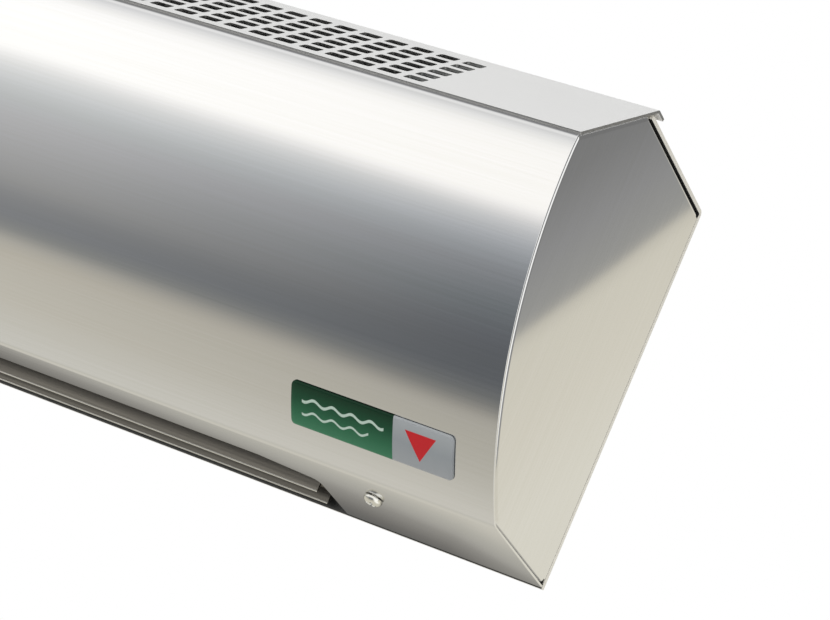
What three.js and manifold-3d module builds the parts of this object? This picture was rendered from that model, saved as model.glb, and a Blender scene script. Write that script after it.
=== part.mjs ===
// Air curtain: a slim wall unit that hangs over a doorway and blows a curtain of air down through
// a slot next to the wall. Millimetres. X runs along the wall (+X is the right end, seen from the
// room), the wall is the plane y = 0, the unit stands out towards -Y, and +Z is up. The origin is
// on the rear face of the back plate, at mid length and mid height.

import * as THREE from 'three';
import { mergeGeometries, mergeVertices } from 'three/addons/utils/BufferGeometryUtils.js';
import Module from 'manifold-3d';

const wasm = await Module();
wasm.setup();

// ---- Driving dimensions: the casing ----------------------------------------------------------
const LENGTH = 600;               // end face to end face
const HEIGHT = 180;               // bottom rear edge to the ridge of the top
const DEPTH = 116;                // wall to the foremost line of the front cover
const REAR_HEIGHT = 162;          // of the upright back plate, up to its bend
const RIDGE_FROM_WALL = 65.5;     // the fold along the top, where the intake face ends
const INTAKE_ANGLE = 30.3;        // degrees that the intake face rises towards the wall
const UNDERSIDE_DEPTH = 57.1;     // wall to the corner that the bend rounds off
const STRAIGHT_FRONT = 8.5;       // upright stretch of the front, above the long curve
const BEND_RADIUS = 8;            // between the front curve and the underside
const BOTTOM_TILT = 10.5;         // degrees that the underside drops towards the wall
const HOOD_DROP = 3.3;            // the back plate's hood ends this far below the ridge
const HOOD_PAST = 2.5;            // and this far past it, under the grille

// ---- Sheets and clearances -------------------------------------------------------------------
const COVER_SHEET = 1.0;          // stainless front cover
const CHASSIS_SHEET = 1.2;        // painted and galvanised inner sheets
const BACK_SHEET = 1.8;           // back plate
const SEAT = 0.3;                 // between pieces that rest on each other
const RUNNING = 0.35;             // around shafts and pins
const COVER_LINE = 0.4;           // shadow gap between the intake grille and the cover's top edge
const COVER_RETURN = 5;           // the cover's top edge turns back this far under the grille
const HOOD_LINE = 0.8;            // shadow gap between an end cap and the back plate's hood
const REAR_LINE = 0.6;            // between the cover's rear edge and the back plate
const CAP_RECESS = 0.4;           // an end cap's face, inside the casing's end
const SHEET_END = 0.4;            // more room at a sheet's cut end, which stands slanted on its seat

// ---- Intake grille ---------------------------------------------------------------------------
const REAR_LIP = 6.2;             // folded down behind the ridge
const SLOT_LENGTH = 9;
const SLOT_WIDTH = 5.2;
const SLOT_PITCH = 12.4;          // along the unit
const ROW_PITCH = 8;              // up the slope
const SLOT_ROWS = 6;
const FIRST_ROW = 8.6;            // from the front corner to the middle of the lowest row
const GRILLE_MARGIN_RIGHT = 74;   // end face to the first slots
const GRILLE_MARGIN_LEFT = 57;

// ---- Bays, outlet and vanes ------------------------------------------------------------------
const MOTOR_BAY = 89;             // right end face to the right bulkhead
const WIRING_BAY = 74;            // left end face to the left bulkhead
const OUTLET_MARGIN = 4.5;        // bulkhead to the end of the outlet cut-out
const OUTLET_DEPTH = 37.3;        // wall to the outlet's front edge
const OUTLET_TAPER_LENGTH = 28;   // the front edge draws in near both ends
const OUTLET_TAPER = 4.5;
const VANE_GAP = 13;              // bulkhead to the end of a vane
const VANE_CHORD = 15;
const VANE_SHEET = 1;
const VANE_BEAD = 1.9;            // radius of the round bead that stiffens a vane
const VANE_PIN = 1.5;             // radius
const FRONT_VANE_FROM_WALL = 16.5;
const REAR_VANE_FROM_WALL = 5.5;

// ---- Fan and motor ---------------------------------------------------------------------------
const FAN_RADIUS = 37;
const FAN_FROM_FRONT = 58;        // foremost line of the cover to the axis
const FAN_HEIGHT = 98;            // axis above the bottom rear edge
const FAN_END_GAP = 11;           // bulkhead to the drum
const BLADE_COUNT = 24;
const BLADE_DEPTH = 8.5;          // across the ring of blades
const BLADE_SHEET = 0.9;
const DISC_SHEET = 1.4;
const SHAFT_RADIUS = 4;
const HUB_WALL = 4.7;             // rubber around the shaft in the drum's right disc
const HUB_LENGTH = 6;
const BUSH_WALL = 4;
const BUSH_LENGTH = 7;
const HOLDER_WALL = 5;
const HOLDER_FLANGE = 5;
const FAN_CLEARANCE = 4;          // drum to the casing around it
const VOLUTE_FROM_BACK = 5.5;     // room for the leads behind the volute
const VOLUTE_START = 18.7;        // fan axis to where the volute meets the hood
const STABILISER_DROP = 38.6;     // fan axis down to where the stabiliser meets the cover
const MOTOR_RADIUS = 33;
const MOTOR_FLANGE = 9;           // that the motor's flange stands out
const MOTOR_FRONT_LENGTH = 22;
const MOTOR_REAR_LENGTH = 26;

// ---- Heater ----------------------------------------------------------------------------------
const ROD_RADIUS = 3.5;
const ROD_PITCH = 13;
const ROD_HEIGHT = 42;            // above the bottom rear edge
const FIRST_ROD_FROM_WALL = 18;
const ROD_COUNT = 3;
const ROD_OVERHANG = 9;           // of a rod past the bulkhead
const STUD_RADIUS = 1.6;          // terminal at a rod's end
const STUD_LENGTH = 5;
const CUTOUT_RADIUS = 8;          // thermal cut-out on the left bulkhead
const CUTOUT_LENGTH = 8;
const CUTOUT_ABOVE_RODS = 24;

// ---- Fixings and fittings --------------------------------------------------------------------
const SCREW_RADIUS = 2;
const SCREW_HEAD_RADIUS = 4;
const SCREW_HEAD_HEIGHT = 2.8;
const COVER_SCREW_FROM_END = 64.4;
const COVER_SCREW_FROM_WALL = 37.4;
const FLANGE = 12;                // width of the folded flanges
const TONGUE_WIDTH = 26;          // of the bulkhead's tab above the cover screw
const BADGE_LENGTH = 76;
const BADGE_HEIGHT = 19;
const BADGE_SHEET = 0.9;
const BADGE_CORNER = 2.2;         // radius
const BADGE_FROM_END = 17.8;
const BADGE_DOWN_CURVE = 124.5;   // from the top of the front curve to the badge's middle
const KEYHOLE_FROM_END = 38;
const KEYHOLE_HEIGHT = 140;       // above the bottom rear edge
const KEYHOLE_HEAD_RADIUS = 5;
const KEYHOLE_NECK_RADIUS = 2.5;
const KEYHOLE_TRAVEL = 10;
const FIXING_HOLE_HEIGHT = 20;
const LOWER_SCREW_HEIGHT = 38;    // flange screws in the back plate, above the bottom rear edge
const UPPER_SCREW_HEIGHT = 119;
const GROMMET_FROM_END = 38;
const GROMMET_HEIGHT = 78;
const GROMMET_BORE = 4.2;
const GROMMET_NECK = 8;
const GROMMET_RIM = 11;
const TERMINAL_LENGTH = 40;
const TERMINAL_HEIGHT = 20;
const TERMINAL_DEPTH = 18;
const TERMINAL_ABOVE_BASE = 102;
const TERMINAL_FROM_END = 15;
const CAPACITOR_RADIUS = 15;
const CAPACITOR_LENGTH = 42;
const CAPACITOR_ABOVE_BASE = 34;  // axis
const CAPACITOR_FROM_END = 22;
const TAB_LENGTH = 7;             // of the flat push-on tabs
const TAB_WIDTH = 4.8;
const TAB_SHEET = 0.8;
const CLIP_WIDTH = 9;
const LEAD_RADIUS = 1.5;
const LEAD_BEND = 12;             // straight run of a lead before it turns
const LOOM_HEIGHT = 130;
const LOOM_FROM_WALL = 6;

// ---- Rocker switches -------------------------------------------------------------------------
const SWITCH_BODY = [12.4, 18.9]; // along the unit, and front to rear
const SWITCH_BEZEL = [15, 21.5];
const SWITCH_POCKET = [9.8, 17];
const SWITCH_DEPTH = 16;
const BEZEL_SHEET = 1.8;
const ROCKER_LENGTH = 14.8;
const ROCKER_TIP = 10;            // degrees each way from level
const ROCKER_PIVOT = 1.2;         // its pins, above the underside's face
const ROCKER_PIN = 1;             // radius
const SWITCH_FROM_WALL = 31;
const SWITCH_FROM_END = [25, 45];

// ---- Worked out from the sizes above ---------------------------------------------------------
const RIGHT = LENGTH / 2;
const LEFT = -RIGHT;
const BASE = -HEIGHT / 2;
const TOP = HEIGHT / 2;
const tilt = THREE.MathUtils.degToRad(BOTTOM_TILT);
const intakeAngle = THREE.MathUtils.degToRad(INTAKE_ANGLE);
const intakeRun = DEPTH - RIDGE_FROM_WALL;
const intakeLength = intakeRun / Math.cos(intakeAngle);
const frontCorner = TOP - intakeRun * Math.tan(intakeAngle);
const rearCorner = BASE + REAR_HEIGHT;
const bulkheadRight = RIGHT - MOTOR_BAY;
const bulkheadLeft = LEFT + WIRING_BAY;
const fanFromWall = DEPTH - FAN_FROM_FRONT;
const fanAxis = [-fanFromWall, BASE + FAN_HEIGHT];

// The long curve starts upright below the straight front and passes through the lower corner.
const curveTop = frontCorner - STRAIGHT_FRONT;
const curveRun = DEPTH - UNDERSIDE_DEPTH;
const curveDrop = curveTop - (BASE + UNDERSIDE_DEPTH * Math.tan(tilt));
const frontRadius = (curveRun ** 2 + curveDrop ** 2) / (2 * curveRun);
const curveCentre = [frontRadius - DEPTH, curveTop];

// ---- Materials -------------------------------------------------------------------------------
function finish(color, roughness, metalness) {
  return new THREE.MeshStandardMaterial({ color, roughness, metalness });
}

const stainless = finish('#b9b7b0', 0.3, 1);
const lightPaint = finish('#e2e3e4', 0.55, 0);
const creamPaint = finish('#e6e1d4', 0.55, 0);
const galvanised = finish('#a9adaf', 0.45, 1);
const zincScrew = finish('#d4d3cd', 0.25, 1);
const darkSteel = finish('#4c4c4a', 0.5, 0.8);
const castZinc = finish('#8d8f90', 0.5, 0.9);
const heaterSteel = finish('#5b554d', 0.55, 0.8);
const blackPlastic = finish('#1d1e1f', 0.45, 0);
const redPlastic = finish('#a8231c', 0.4, 0);
const whitePlastic = finish('#e9e7e0', 0.5, 0);
const rubber = finish('#232323', 0.85, 0);
const bronze = finish('#a7793c', 0.4, 0.9);
const printedLabel = finish('#1f7a45', 0.3, 0);
const greyInsulation = finish('#77797a', 0.6, 0);

// ---- Solids: joining and cutting -------------------------------------------------------------
function toSolid(geometry) {
  const bare = geometry.clone();
  bare.deleteAttribute('normal');
  bare.deleteAttribute('uv');
  const merged = mergeVertices(bare, 1e-4);
  const corners = merged.getIndex().array;
  const kept = [];
  for (let i = 0; i < corners.length; i += 3) {
    const [a, b, c] = [corners[i], corners[i + 1], corners[i + 2]];
    if (a !== b && b !== c && c !== a) kept.push(a, b, c);
  }
  return new wasm.Manifold(new wasm.Mesh({
    numProp: 3,
    vertProperties: new Float32Array(merged.getAttribute('position').array),
    triVerts: new Uint32Array(kept),
  }));
}

function toGeometry(solid) {
  const mesh = solid.getMesh();
  const geometry = new THREE.BufferGeometry();
  geometry.setAttribute('position', new THREE.BufferAttribute(mesh.vertProperties, 3));
  geometry.setIndex(new THREE.BufferAttribute(mesh.triVerts, 1));
  return geometry;
}

function join(first, ...others) {
  return toGeometry(others.reduce((sum, other) => sum.add(toSolid(other)), toSolid(first)));
}

function cut(body, ...tools) {
  return toGeometry(tools.reduce((rest, tool) => rest.subtract(toSolid(tool)), toSolid(body)));
}

function overlapOf(first, second) {
  return toGeometry(toSolid(first).intersect(toSolid(second)));
}

function piece(name, geometry, material) {
  const mesh = new THREE.Mesh(geometry, material);
  mesh.name = name;
  return mesh;
}

function group(...members) {
  const set = new THREE.Group();
  set.add(...members);
  return set;
}

// ---- Basic shapes ----------------------------------------------------------------------------
// A closed outline in the (y, z) plane, carried along the unit from x = start to x = end.
function alongX(outline, start, end, holes = []) {
  const shape = new THREE.Shape(outline.map(([y, z]) => new THREE.Vector2(y, z)));
  shape.holes = holes.map((hole) => new THREE.Path(hole.map(([y, z]) => new THREE.Vector2(y, z))));
  const geometry = new THREE.ExtrudeGeometry(shape, { depth: end - start, bevelEnabled: false });
  const turn = new THREE.Matrix4().makeBasis(
    new THREE.Vector3(0, 1, 0),
    new THREE.Vector3(0, 0, 1),
    new THREE.Vector3(1, 0, 0),
  );
  return geometry.applyMatrix4(turn).translate(start, 0, 0);
}

// A flat outline in the (x, y) plane, carried up from z = low to z = high.
function upright(shape, low, high) {
  const geometry = new THREE.ExtrudeGeometry(shape, {
    depth: high - low,
    bevelEnabled: false,
    curveSegments: 6,
  });
  return geometry.translate(0, 0, low);
}

function box(low, high) {
  const size = high.map((value, i) => value - low[i]);
  const middle = high.map((value, i) => (value + low[i]) / 2);
  return new THREE.BoxGeometry(...size).translate(...middle);
}

function rodX(radius, start, end, [y, z], sides = 16) {
  return new THREE.CylinderGeometry(radius, radius, end - start, sides)
    .rotateZ(-Math.PI / 2)
    .translate((start + end) / 2, y, z);
}

function rodY(radius, start, end, [x, z], sides = 16) {
  return new THREE.CylinderGeometry(radius, radius, end - start, sides)
    .translate(x, (start + end) / 2, z);
}

function rodZ(radius, start, end, [x, y], sides = 16) {
  return new THREE.CylinderGeometry(radius, radius, end - start, sides)
    .rotateX(Math.PI / 2)
    .translate(x, y, (start + end) / 2);
}

// A turned piece about an axis along X: the profile is a list of [radius, x].
function turnedX(profile, [y, z], sides = 32) {
  const points = profile.map(([radius, x]) => new THREE.Vector2(radius, x));
  return new THREE.LatheGeometry(points, sides).rotateZ(-Math.PI / 2).translate(0, y, z);
}

// The outline of a bent sheet: its path, and the same path one thickness to the left of the way
// it runs, with mitred corners.
function sheetOutline(path, thickness) {
  const offset = path.map((point, i) => {
    const before = path[Math.max(i - 1, 0)];
    const after = path[Math.min(i + 1, path.length - 1)];
    const into = unit(i === 0 ? [after, point] : [point, before]);
    const out = unit(i === path.length - 1 ? [point, before] : [after, point]);
    const mitre = unit([[into[0] + out[0], into[1] + out[1]], [0, 0]]);
    const reach = thickness / (mitre[0] * out[0] + mitre[1] * out[1]);
    return [point[0] - mitre[1] * reach, point[1] + mitre[0] * reach];
  });
  return [...path, ...offset.reverse()];
}

function unit([head, tail]) {
  const run = [head[0] - tail[0], head[1] - tail[1]];
  const length = Math.hypot(...run);
  return [run[0] / length, run[1] / length];
}

// ---- The casing's cross-section --------------------------------------------------------------
const bend = findBend();
const CURVE_STEPS = 12;
const BEND_STEPS = 4;

// The bend's circle touches the underside's line and the front curve from inside.
function findBend() {
  const start = [BEND_RADIUS * Math.sin(tilt), BASE + BEND_RADIUS * Math.cos(tilt)];
  const way = [-Math.cos(tilt), Math.sin(tilt)];
  const run = [start[0] - curveCentre[0], start[1] - curveCentre[1]];
  const half = run[0] * way[0] + run[1] * way[1];
  const rest = run[0] ** 2 + run[1] ** 2 - (frontRadius - BEND_RADIUS) ** 2;
  const distance = -half + Math.sqrt(half ** 2 - rest);
  const centre = [start[0] + way[0] * distance, start[1] + way[1] * distance];
  const angle = Math.atan2(curveCentre[1] - centre[1], curveCentre[0] - centre[0]);
  return { centre, angle };
}

function arcPoints(centre, radius, from, to, steps) {
  return Array.from({ length: steps + 1 }, (_, i) => {
    const angle = from + ((to - from) * i) / steps;
    return [centre[0] - radius * Math.cos(angle), centre[1] - radius * Math.sin(angle)];
  });
}

// Height of the underside's outer face at a distance from the wall, and above it by an inset.
function undersideAt(fromWall, inset = 0) {
  return BASE + fromWall * Math.tan(tilt) + inset / Math.cos(tilt);
}

function intakeAt(fromWall, inset = 0) {
  return frontCorner + (DEPTH - fromWall) * Math.tan(intakeAngle) - inset / Math.cos(intakeAngle);
}

const hoodFront = RIDGE_FROM_WALL + HOOD_PAST;
const hoodAngle = Math.atan2(TOP - HOOD_DROP - rearCorner, hoodFront);

function hoodAt(fromWall, inset = 0) {
  return rearCorner + fromWall * Math.tan(hoodAngle) - inset / Math.cos(hoodAngle);
}

// The front and underside, from the top of the straight front down to a distance from the wall.
function frontPath(inset, top, rearEnd) {
  return [
    [-DEPTH + inset, top],
    ...arcPoints(curveCentre, frontRadius - inset, 0, bend.angle, CURVE_STEPS),
    ...arcPoints(bend.centre, BEND_RADIUS - inset, bend.angle, Math.PI / 2 - tilt, BEND_STEPS).slice(1),
    [-rearEnd, undersideAt(rearEnd, inset)],
  ];
}

// The top of the cover turns back and runs under the grille, on a slope beside it.
const returnFace = CHASSIS_SHEET + COVER_LINE;
const returnRun = COVER_RETURN * Math.cos(intakeAngle) + COVER_SHEET * Math.sin(intakeAngle);

// The space inside the casing, less an inset from the cover, the grille, the hood and the back.
// Between the end caps it steps down under the cover's return.
function innerOutline({ cover, intake, hood, back }, stepped) {
  const lean = Math.tan(intakeAngle) + Math.tan(hoodAngle);
  const ridge = (intakeAt(0, intake) - hoodAt(0, hood)) / lean;
  const step = DEPTH - returnRun - (cover - COVER_SHEET);
  const low = stepped ? intake + COVER_LINE + COVER_SHEET : intake;
  return [
    ...(stepped ? [[-step, intakeAt(step, intake)], [-step, intakeAt(step, low)]] : []),
    ...frontPath(cover, intakeAt(DEPTH - cover, low), back),
    [-back, hoodAt(back, hood)],
    [-ridge, hoodAt(ridge, hood)],
  ];
}

function deepened(insets, depth) {
  return Object.fromEntries(Object.entries(insets).map(([key, value]) => [key, value + depth]));
}

// ---- Pieces on the underside: x, distance from the wall (as -y) and height above its face -----
const underside = new THREE.Matrix4().makeRotationX(-tilt).setPosition(0, 0, BASE);

function onUnderside(geometry) {
  return geometry.applyMatrix4(underside);
}

function panHeadScrew(radius, headRadius, headHeight, length, sides) {
  const profile = [
    [0, -headHeight],
    [headRadius * 0.66, -headHeight * 0.9],
    [headRadius, -headHeight * 0.45],
    [headRadius, 0],
    [radius, 0],
    [radius, length],
    [0, length],
  ].map(([r, z]) => new THREE.Vector2(r, z));
  const blank = new THREE.LatheGeometry(profile, sides).rotateX(Math.PI / 2);
  const arm = headRadius * 0.55;
  const slot = headRadius * 0.13;
  const deep = -headHeight * 0.45;
  const over = -headHeight - 1;
  return cut(
    blank,
    box([-arm, -slot, over], [arm, slot, deep]),
    box([-slot, -arm, over], [slot, arm, deep]),
  );
}

// A screw along Y with its head inside the casing, its shank through a flange and the back plate.
function wallwardScrew(x, z, headFace) {
  const length = headFace - 0.2;
  return panHeadScrew(SCREW_RADIUS, SCREW_HEAD_RADIUS, SCREW_HEAD_HEIGHT, length, 10)
    .rotateX(-Math.PI / 2)
    .translate(x, -headFace, z);
}

const coverScrewPlaces = {
  right: RIGHT - COVER_SCREW_FROM_END,
  left: LEFT + COVER_SCREW_FROM_END,
};
const coverScrewSlope = COVER_SCREW_FROM_WALL / Math.cos(tilt);
const switchPlaces = SWITCH_FROM_END.map((distance) => LEFT + distance);
const switchSlope = SWITCH_FROM_WALL / Math.cos(tilt);

// ---- Casing ----------------------------------------------------------------------------------
function backPlate() {
  const path = [
    [0, BASE],
    [0, rearCorner],
    [-hoodFront, hoodAt(hoodFront)],
  ];
  const plate = alongX(sheetOutline(path, BACK_SHEET), LEFT, RIGHT);
  const holes = [];
  for (const x of [LEFT + KEYHOLE_FROM_END, RIGHT - KEYHOLE_FROM_END]) {
    const z = BASE + KEYHOLE_HEIGHT;
    holes.push(rodY(KEYHOLE_HEAD_RADIUS, -BACK_SHEET - 1, 1, [x, z], 24));
    holes.push(rodY(KEYHOLE_NECK_RADIUS, -BACK_SHEET - 1, 1, [x, z + KEYHOLE_TRAVEL], 16));
    holes.push(box(
      [x - KEYHOLE_NECK_RADIUS, -BACK_SHEET - 1, z],
      [x + KEYHOLE_NECK_RADIUS, 1, z + KEYHOLE_TRAVEL],
    ));
    holes.push(rodY(KEYHOLE_NECK_RADIUS, -BACK_SHEET - 1, 1, [x, BASE + FIXING_HOLE_HEIGHT], 16));
  }
  const { x, z } = grommetPlace();
  holes.push(rodY(GROMMET_NECK + SEAT, -BACK_SHEET - 1, 1, [x, z], 24));
  for (const place of wallwardPlaces()) {
    holes.push(rodY(SCREW_RADIUS + RUNNING, -BACK_SHEET - 1, 1, [place.x, place.z], 12));
  }
  return cut(plate, ...holes);
}

// Screws that hold the end caps' and the bulkheads' rear flanges to the back plate.
function wallwardPlaces() {
  const low = BASE + LOWER_SCREW_HEIGHT;
  const high = BASE + UPPER_SCREW_HEIGHT;
  const inFlange = FLANGE / 2;
  const columns = [
    ['end_cap_screw_right', RIGHT - inFlange - CHASSIS_SHEET],
    ['end_cap_screw_left', LEFT + inFlange + CHASSIS_SHEET],
    ['bulkhead_screw_right', bulkheadRight + CHASSIS_SHEET + inFlange],
    ['bulkhead_screw_left', bulkheadLeft - CHASSIS_SHEET - inFlange],
  ];
  return columns.flatMap(([name, x]) => [
    { name: `${name}_lower`, x, z: low },
    { name: `${name}_upper`, x, z: high },
  ]);
}

function intakeGrille() {
  const path = [
    [-DEPTH, frontCorner],
    [-RIDGE_FROM_WALL, TOP],
    [-RIDGE_FROM_WALL + REAR_LIP * Math.cos(hoodAngle), TOP - REAR_LIP * Math.sin(hoodAngle)],
  ];
  const outer = sheetOutline([...path].reverse(), CHASSIS_SHEET);
  return cut(alongX(outer, LEFT, RIGHT), slotField());
}

// Rows of slots up the slope of the intake face, cut square to it.
function slotField() {
  const span = LENGTH - GRILLE_MARGIN_LEFT - GRILLE_MARGIN_RIGHT - SLOT_LENGTH;
  const columns = Math.floor(span / SLOT_PITCH) + 1;
  const slots = [];
  for (let column = 0; column < columns; column += 1) {
    for (let row = 0; row < SLOT_ROWS; row += 1) {
      const x = RIGHT - GRILLE_MARGIN_RIGHT - SLOT_LENGTH / 2 - column * SLOT_PITCH;
      const up = FIRST_ROW + row * ROW_PITCH;
      slots.push(new THREE.BoxGeometry(SLOT_LENGTH, SLOT_WIDTH, 4 * CHASSIS_SHEET).translate(x, up, 0));
    }
  }
  return mergeGeometries(slots).rotateX(intakeAngle).translate(0, -DEPTH, frontCorner);
}

function frontCover() {
  const rearEdge = BACK_SHEET + REAR_LINE;
  const insideCorner = intakeAt(DEPTH - COVER_SHEET, returnFace + COVER_SHEET);
  const end = DEPTH - COVER_RETURN * Math.cos(intakeAngle);
  const outline = [
    [-end, intakeAt(end, returnFace)],
    ...frontPath(0, intakeAt(DEPTH, returnFace), rearEdge),
    ...frontPath(COVER_SHEET, insideCorner, rearEdge).reverse(),
    [-DEPTH + returnRun, intakeAt(end, returnFace) - COVER_SHEET * Math.cos(intakeAngle)],
  ];
  const tools = [outletOpening(), ...returnReliefs()];
  for (const x of Object.values(coverScrewPlaces)) {
    const hole = rodZ(SCREW_RADIUS + RUNNING, -2, COVER_SHEET + 2, [x, -coverScrewSlope], 16);
    tools.push(onUnderside(hole));
  }
  const [width, run] = SWITCH_BODY.map((size) => size / 2 + SEAT);
  for (const x of switchPlaces) {
    const hole = box([x - width, -switchSlope - run, -2], [x + width, -switchSlope + run, COVER_SHEET + 2]);
    tools.push(onUnderside(hole));
  }
  return cut(alongX(outline, LEFT, RIGHT), ...tools);
}

// The cover's return stops short of both ends, where the end caps fill the corner.
function returnReliefs() {
  const corner = innerOutline({
    cover: COVER_SHEET + SEAT / 2,
    intake: CHASSIS_SHEET + COVER_LINE / 2,
    hood: BACK_SHEET,
    back: BACK_SHEET,
  }, false);
  const run = CAP_RECESS + CHASSIS_SHEET + FLANGE + SEAT;
  return [alongX(corner, RIGHT - run, RIGHT + 1), alongX(corner, LEFT - 1, LEFT + run)];
}

// The outlet is cut out of the underside right through its rear edge.
function outletOpening() {
  const right = bulkheadRight - OUTLET_MARGIN;
  const left = bulkheadLeft + OUTLET_MARGIN;
  const corner = OUTLET_DEPTH - OUTLET_TAPER;
  const shape = new THREE.Shape();
  shape.moveTo(left, 1);
  shape.lineTo(left, -corner + 3);
  shape.quadraticCurveTo(left, -corner, left + 4, -corner - 0.6);
  shape.lineTo(left + OUTLET_TAPER_LENGTH, -OUTLET_DEPTH);
  shape.lineTo(right - OUTLET_TAPER_LENGTH, -OUTLET_DEPTH);
  shape.lineTo(right - 4, -corner - 0.6);
  shape.quadraticCurveTo(right, -corner, right, -corner + 3);
  shape.lineTo(right, 1);
  return upright(shape, BASE - 5, undersideAt(OUTLET_DEPTH) + 5);
}

// An end cap is a pressed tray: a flat face inside the cover's edge, with a flange turned inwards.
function endCap(side) {
  const insets = {
    cover: COVER_SHEET + SEAT,
    intake: CHASSIS_SHEET + SEAT,
    hood: BACK_SHEET + HOOD_LINE,
    back: BACK_SHEET + SEAT,
  };
  const deeper = deepened(insets, CHASSIS_SHEET);
  const face = RIGHT - CAP_RECESS;
  const inner = face - CHASSIS_SHEET;
  const outline = innerOutline(insets, false);
  const plate = alongX(outline, inner, face);
  const rim = alongX(outline, inner - FLANGE, inner + CHASSIS_SHEET / 2);
  const hollow = alongX(innerOutline(deeper, false), inner - FLANGE - 1, inner + CHASSIS_SHEET);
  const tray = join(plate, cut(rim, hollow));
  const holes = wallwardPlaces()
    .filter(({ name }) => name.startsWith('end_cap_screw_right'))
    .map(({ x, z }) => rodY(SCREW_RADIUS + RUNNING, -BACK_SHEET - 8, 0, [x, z], 12));
  const right = cut(tray, ...holes);
  return side === 'right' ? right : mirrored(right);
}

// The same piece on the other side of x = 0, with its faces turned the right way again.
function mirrored(geometry) {
  const other = geometry.clone().scale(-1, 1, 1);
  const corners = other.getIndex().array;
  for (let i = 0; i < corners.length; i += 3) {
    [corners[i], corners[i + 1]] = [corners[i + 1], corners[i]];
  }
  return other;
}

// A bulkhead closes the air duct at one end and carries the fan, the heater and the vanes. Its
// flanges turn away from the duct: on the back plate, under the grille and on the underside.
function bulkhead(side) {
  const right = side === 'right';
  const inner = right ? bulkheadRight : -bulkheadLeft;
  const outer = inner + CHASSIS_SHEET;
  const insets = {
    cover: COVER_SHEET + SEAT,
    intake: CHASSIS_SHEET + SEAT,
    hood: BACK_SHEET + SEAT,
    back: BACK_SHEET + SEAT,
  };
  const deeper = deepened(insets, CHASSIS_SHEET);
  const screwX = right ? coverScrewPlaces.right : -coverScrewPlaces.left;
  const tongueEnd = screwX + 2.5 * SCREW_HEAD_RADIUS;
  const outline = innerOutline(insets, true);
  const rim = alongX(outline, inner, outer + FLANGE);
  const tongueRim = alongX(outline, inner, tongueEnd);
  const hollow = alongX(innerOutline(deeper, true), outer, tongueEnd + 1);
  const tongueLow = box(
    [inner, -COVER_SCREW_FROM_WALL - TONGUE_WIDTH / 2, BASE - 5],
    [tongueEnd + 1, -COVER_SCREW_FROM_WALL + TONGUE_WIDTH / 2, undersideAt(COVER_SCREW_FROM_WALL) + 12],
  );
  const tongue = overlapOf(cut(tongueRim, hollow), tongueLow);
  const tools = [
    rodX(3 * SHAFT_RADIUS, inner - 1, outer + 1, fanAxis, 24),
    rodX(LEAD_RADIUS + 1, inner - 1, outer + 1, loomPlace(), 12),
  ];
  for (const pivot of Object.values(vanePivots())) {
    tools.push(rodX(VANE_PIN + RUNNING, inner - 1, outer + 1, pivot, 16));
  }
  for (const centre of rodPlaces()) {
    tools.push(rodX(ROD_RADIUS + RUNNING, inner - 1, outer + 1, centre, 16));
  }
  const screwHole = rodZ(SCREW_RADIUS + RUNNING, -2, 10, [screwX, -coverScrewSlope], 16);
  tools.push(onUnderside(screwHole));
  for (const { name, x, z } of wallwardPlaces()) {
    if (name.startsWith(`bulkhead_screw_${side}`)) {
      const at = right ? x : -x;
      tools.push(rodY(SCREW_RADIUS + RUNNING, -BACK_SHEET - 8, 0, [at, z], 12));
    }
  }
  for (const place of motorScrewPlaces()) {
    if (right) tools.push(rodX(SCREW_RADIUS + RUNNING, inner - 1, outer + 1, place, 12));
  }
  const made = cut(join(cut(rim, hollow), tongue), ...tools);
  return right ? made : mirrored(made);
}

// The badge is a thin plate curved to the front cover, with rounded corners.
function badge() {
  const middle = BADGE_DOWN_CURVE / frontRadius;
  const half = BADGE_HEIGHT / 2 / frontRadius;
  const inner = frontRadius + SEAT;
  const strip = [
    ...arcPoints(curveCentre, inner, middle - half, middle + half, 6),
    ...arcPoints(curveCentre, inner + BADGE_SHEET, middle - half, middle + half, 6).reverse(),
  ];
  const end = RIGHT - BADGE_FROM_END;
  const plate = alongX(strip, end - BADGE_LENGTH, end);
  const blank = upright(roundedRectangle(BADGE_LENGTH, BADGE_HEIGHT, BADGE_CORNER), -BADGE_HEIGHT, BADGE_HEIGHT)
    .rotateX(Math.PI / 2 - middle)
    .translate(
      end - BADGE_LENGTH / 2,
      curveCentre[0] - inner * Math.cos(middle),
      curveCentre[1] - inner * Math.sin(middle),
    );
  return overlapOf(plate, blank);
}

function roundedRectangle(width, height, radius) {
  const [x, y] = [width / 2, height / 2];
  const shape = new THREE.Shape();
  shape.moveTo(-x + radius, -y);
  shape.lineTo(x - radius, -y);
  shape.absarc(x - radius, -y + radius, radius, -Math.PI / 2, 0);
  shape.lineTo(x, y - radius);
  shape.absarc(x - radius, y - radius, radius, 0, Math.PI / 2);
  shape.lineTo(-x + radius, y);
  shape.absarc(-x + radius, y - radius, radius, Math.PI / 2, Math.PI);
  shape.lineTo(-x, -y + radius);
  shape.absarc(-x + radius, -y + radius, radius, Math.PI, Math.PI * 1.5);
  return shape;
}

function coverScrew(side) {
  const screw = panHeadScrew(SCREW_RADIUS, SCREW_HEAD_RADIUS, SCREW_HEAD_HEIGHT, 9, 20)
    .translate(coverScrewPlaces[side], -coverScrewSlope, -SEAT);
  return onUnderside(screw);
}

function grommetPlace() {
  return { x: LEFT + GROMMET_FROM_END, z: BASE + GROMMET_HEIGHT };
}

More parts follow.
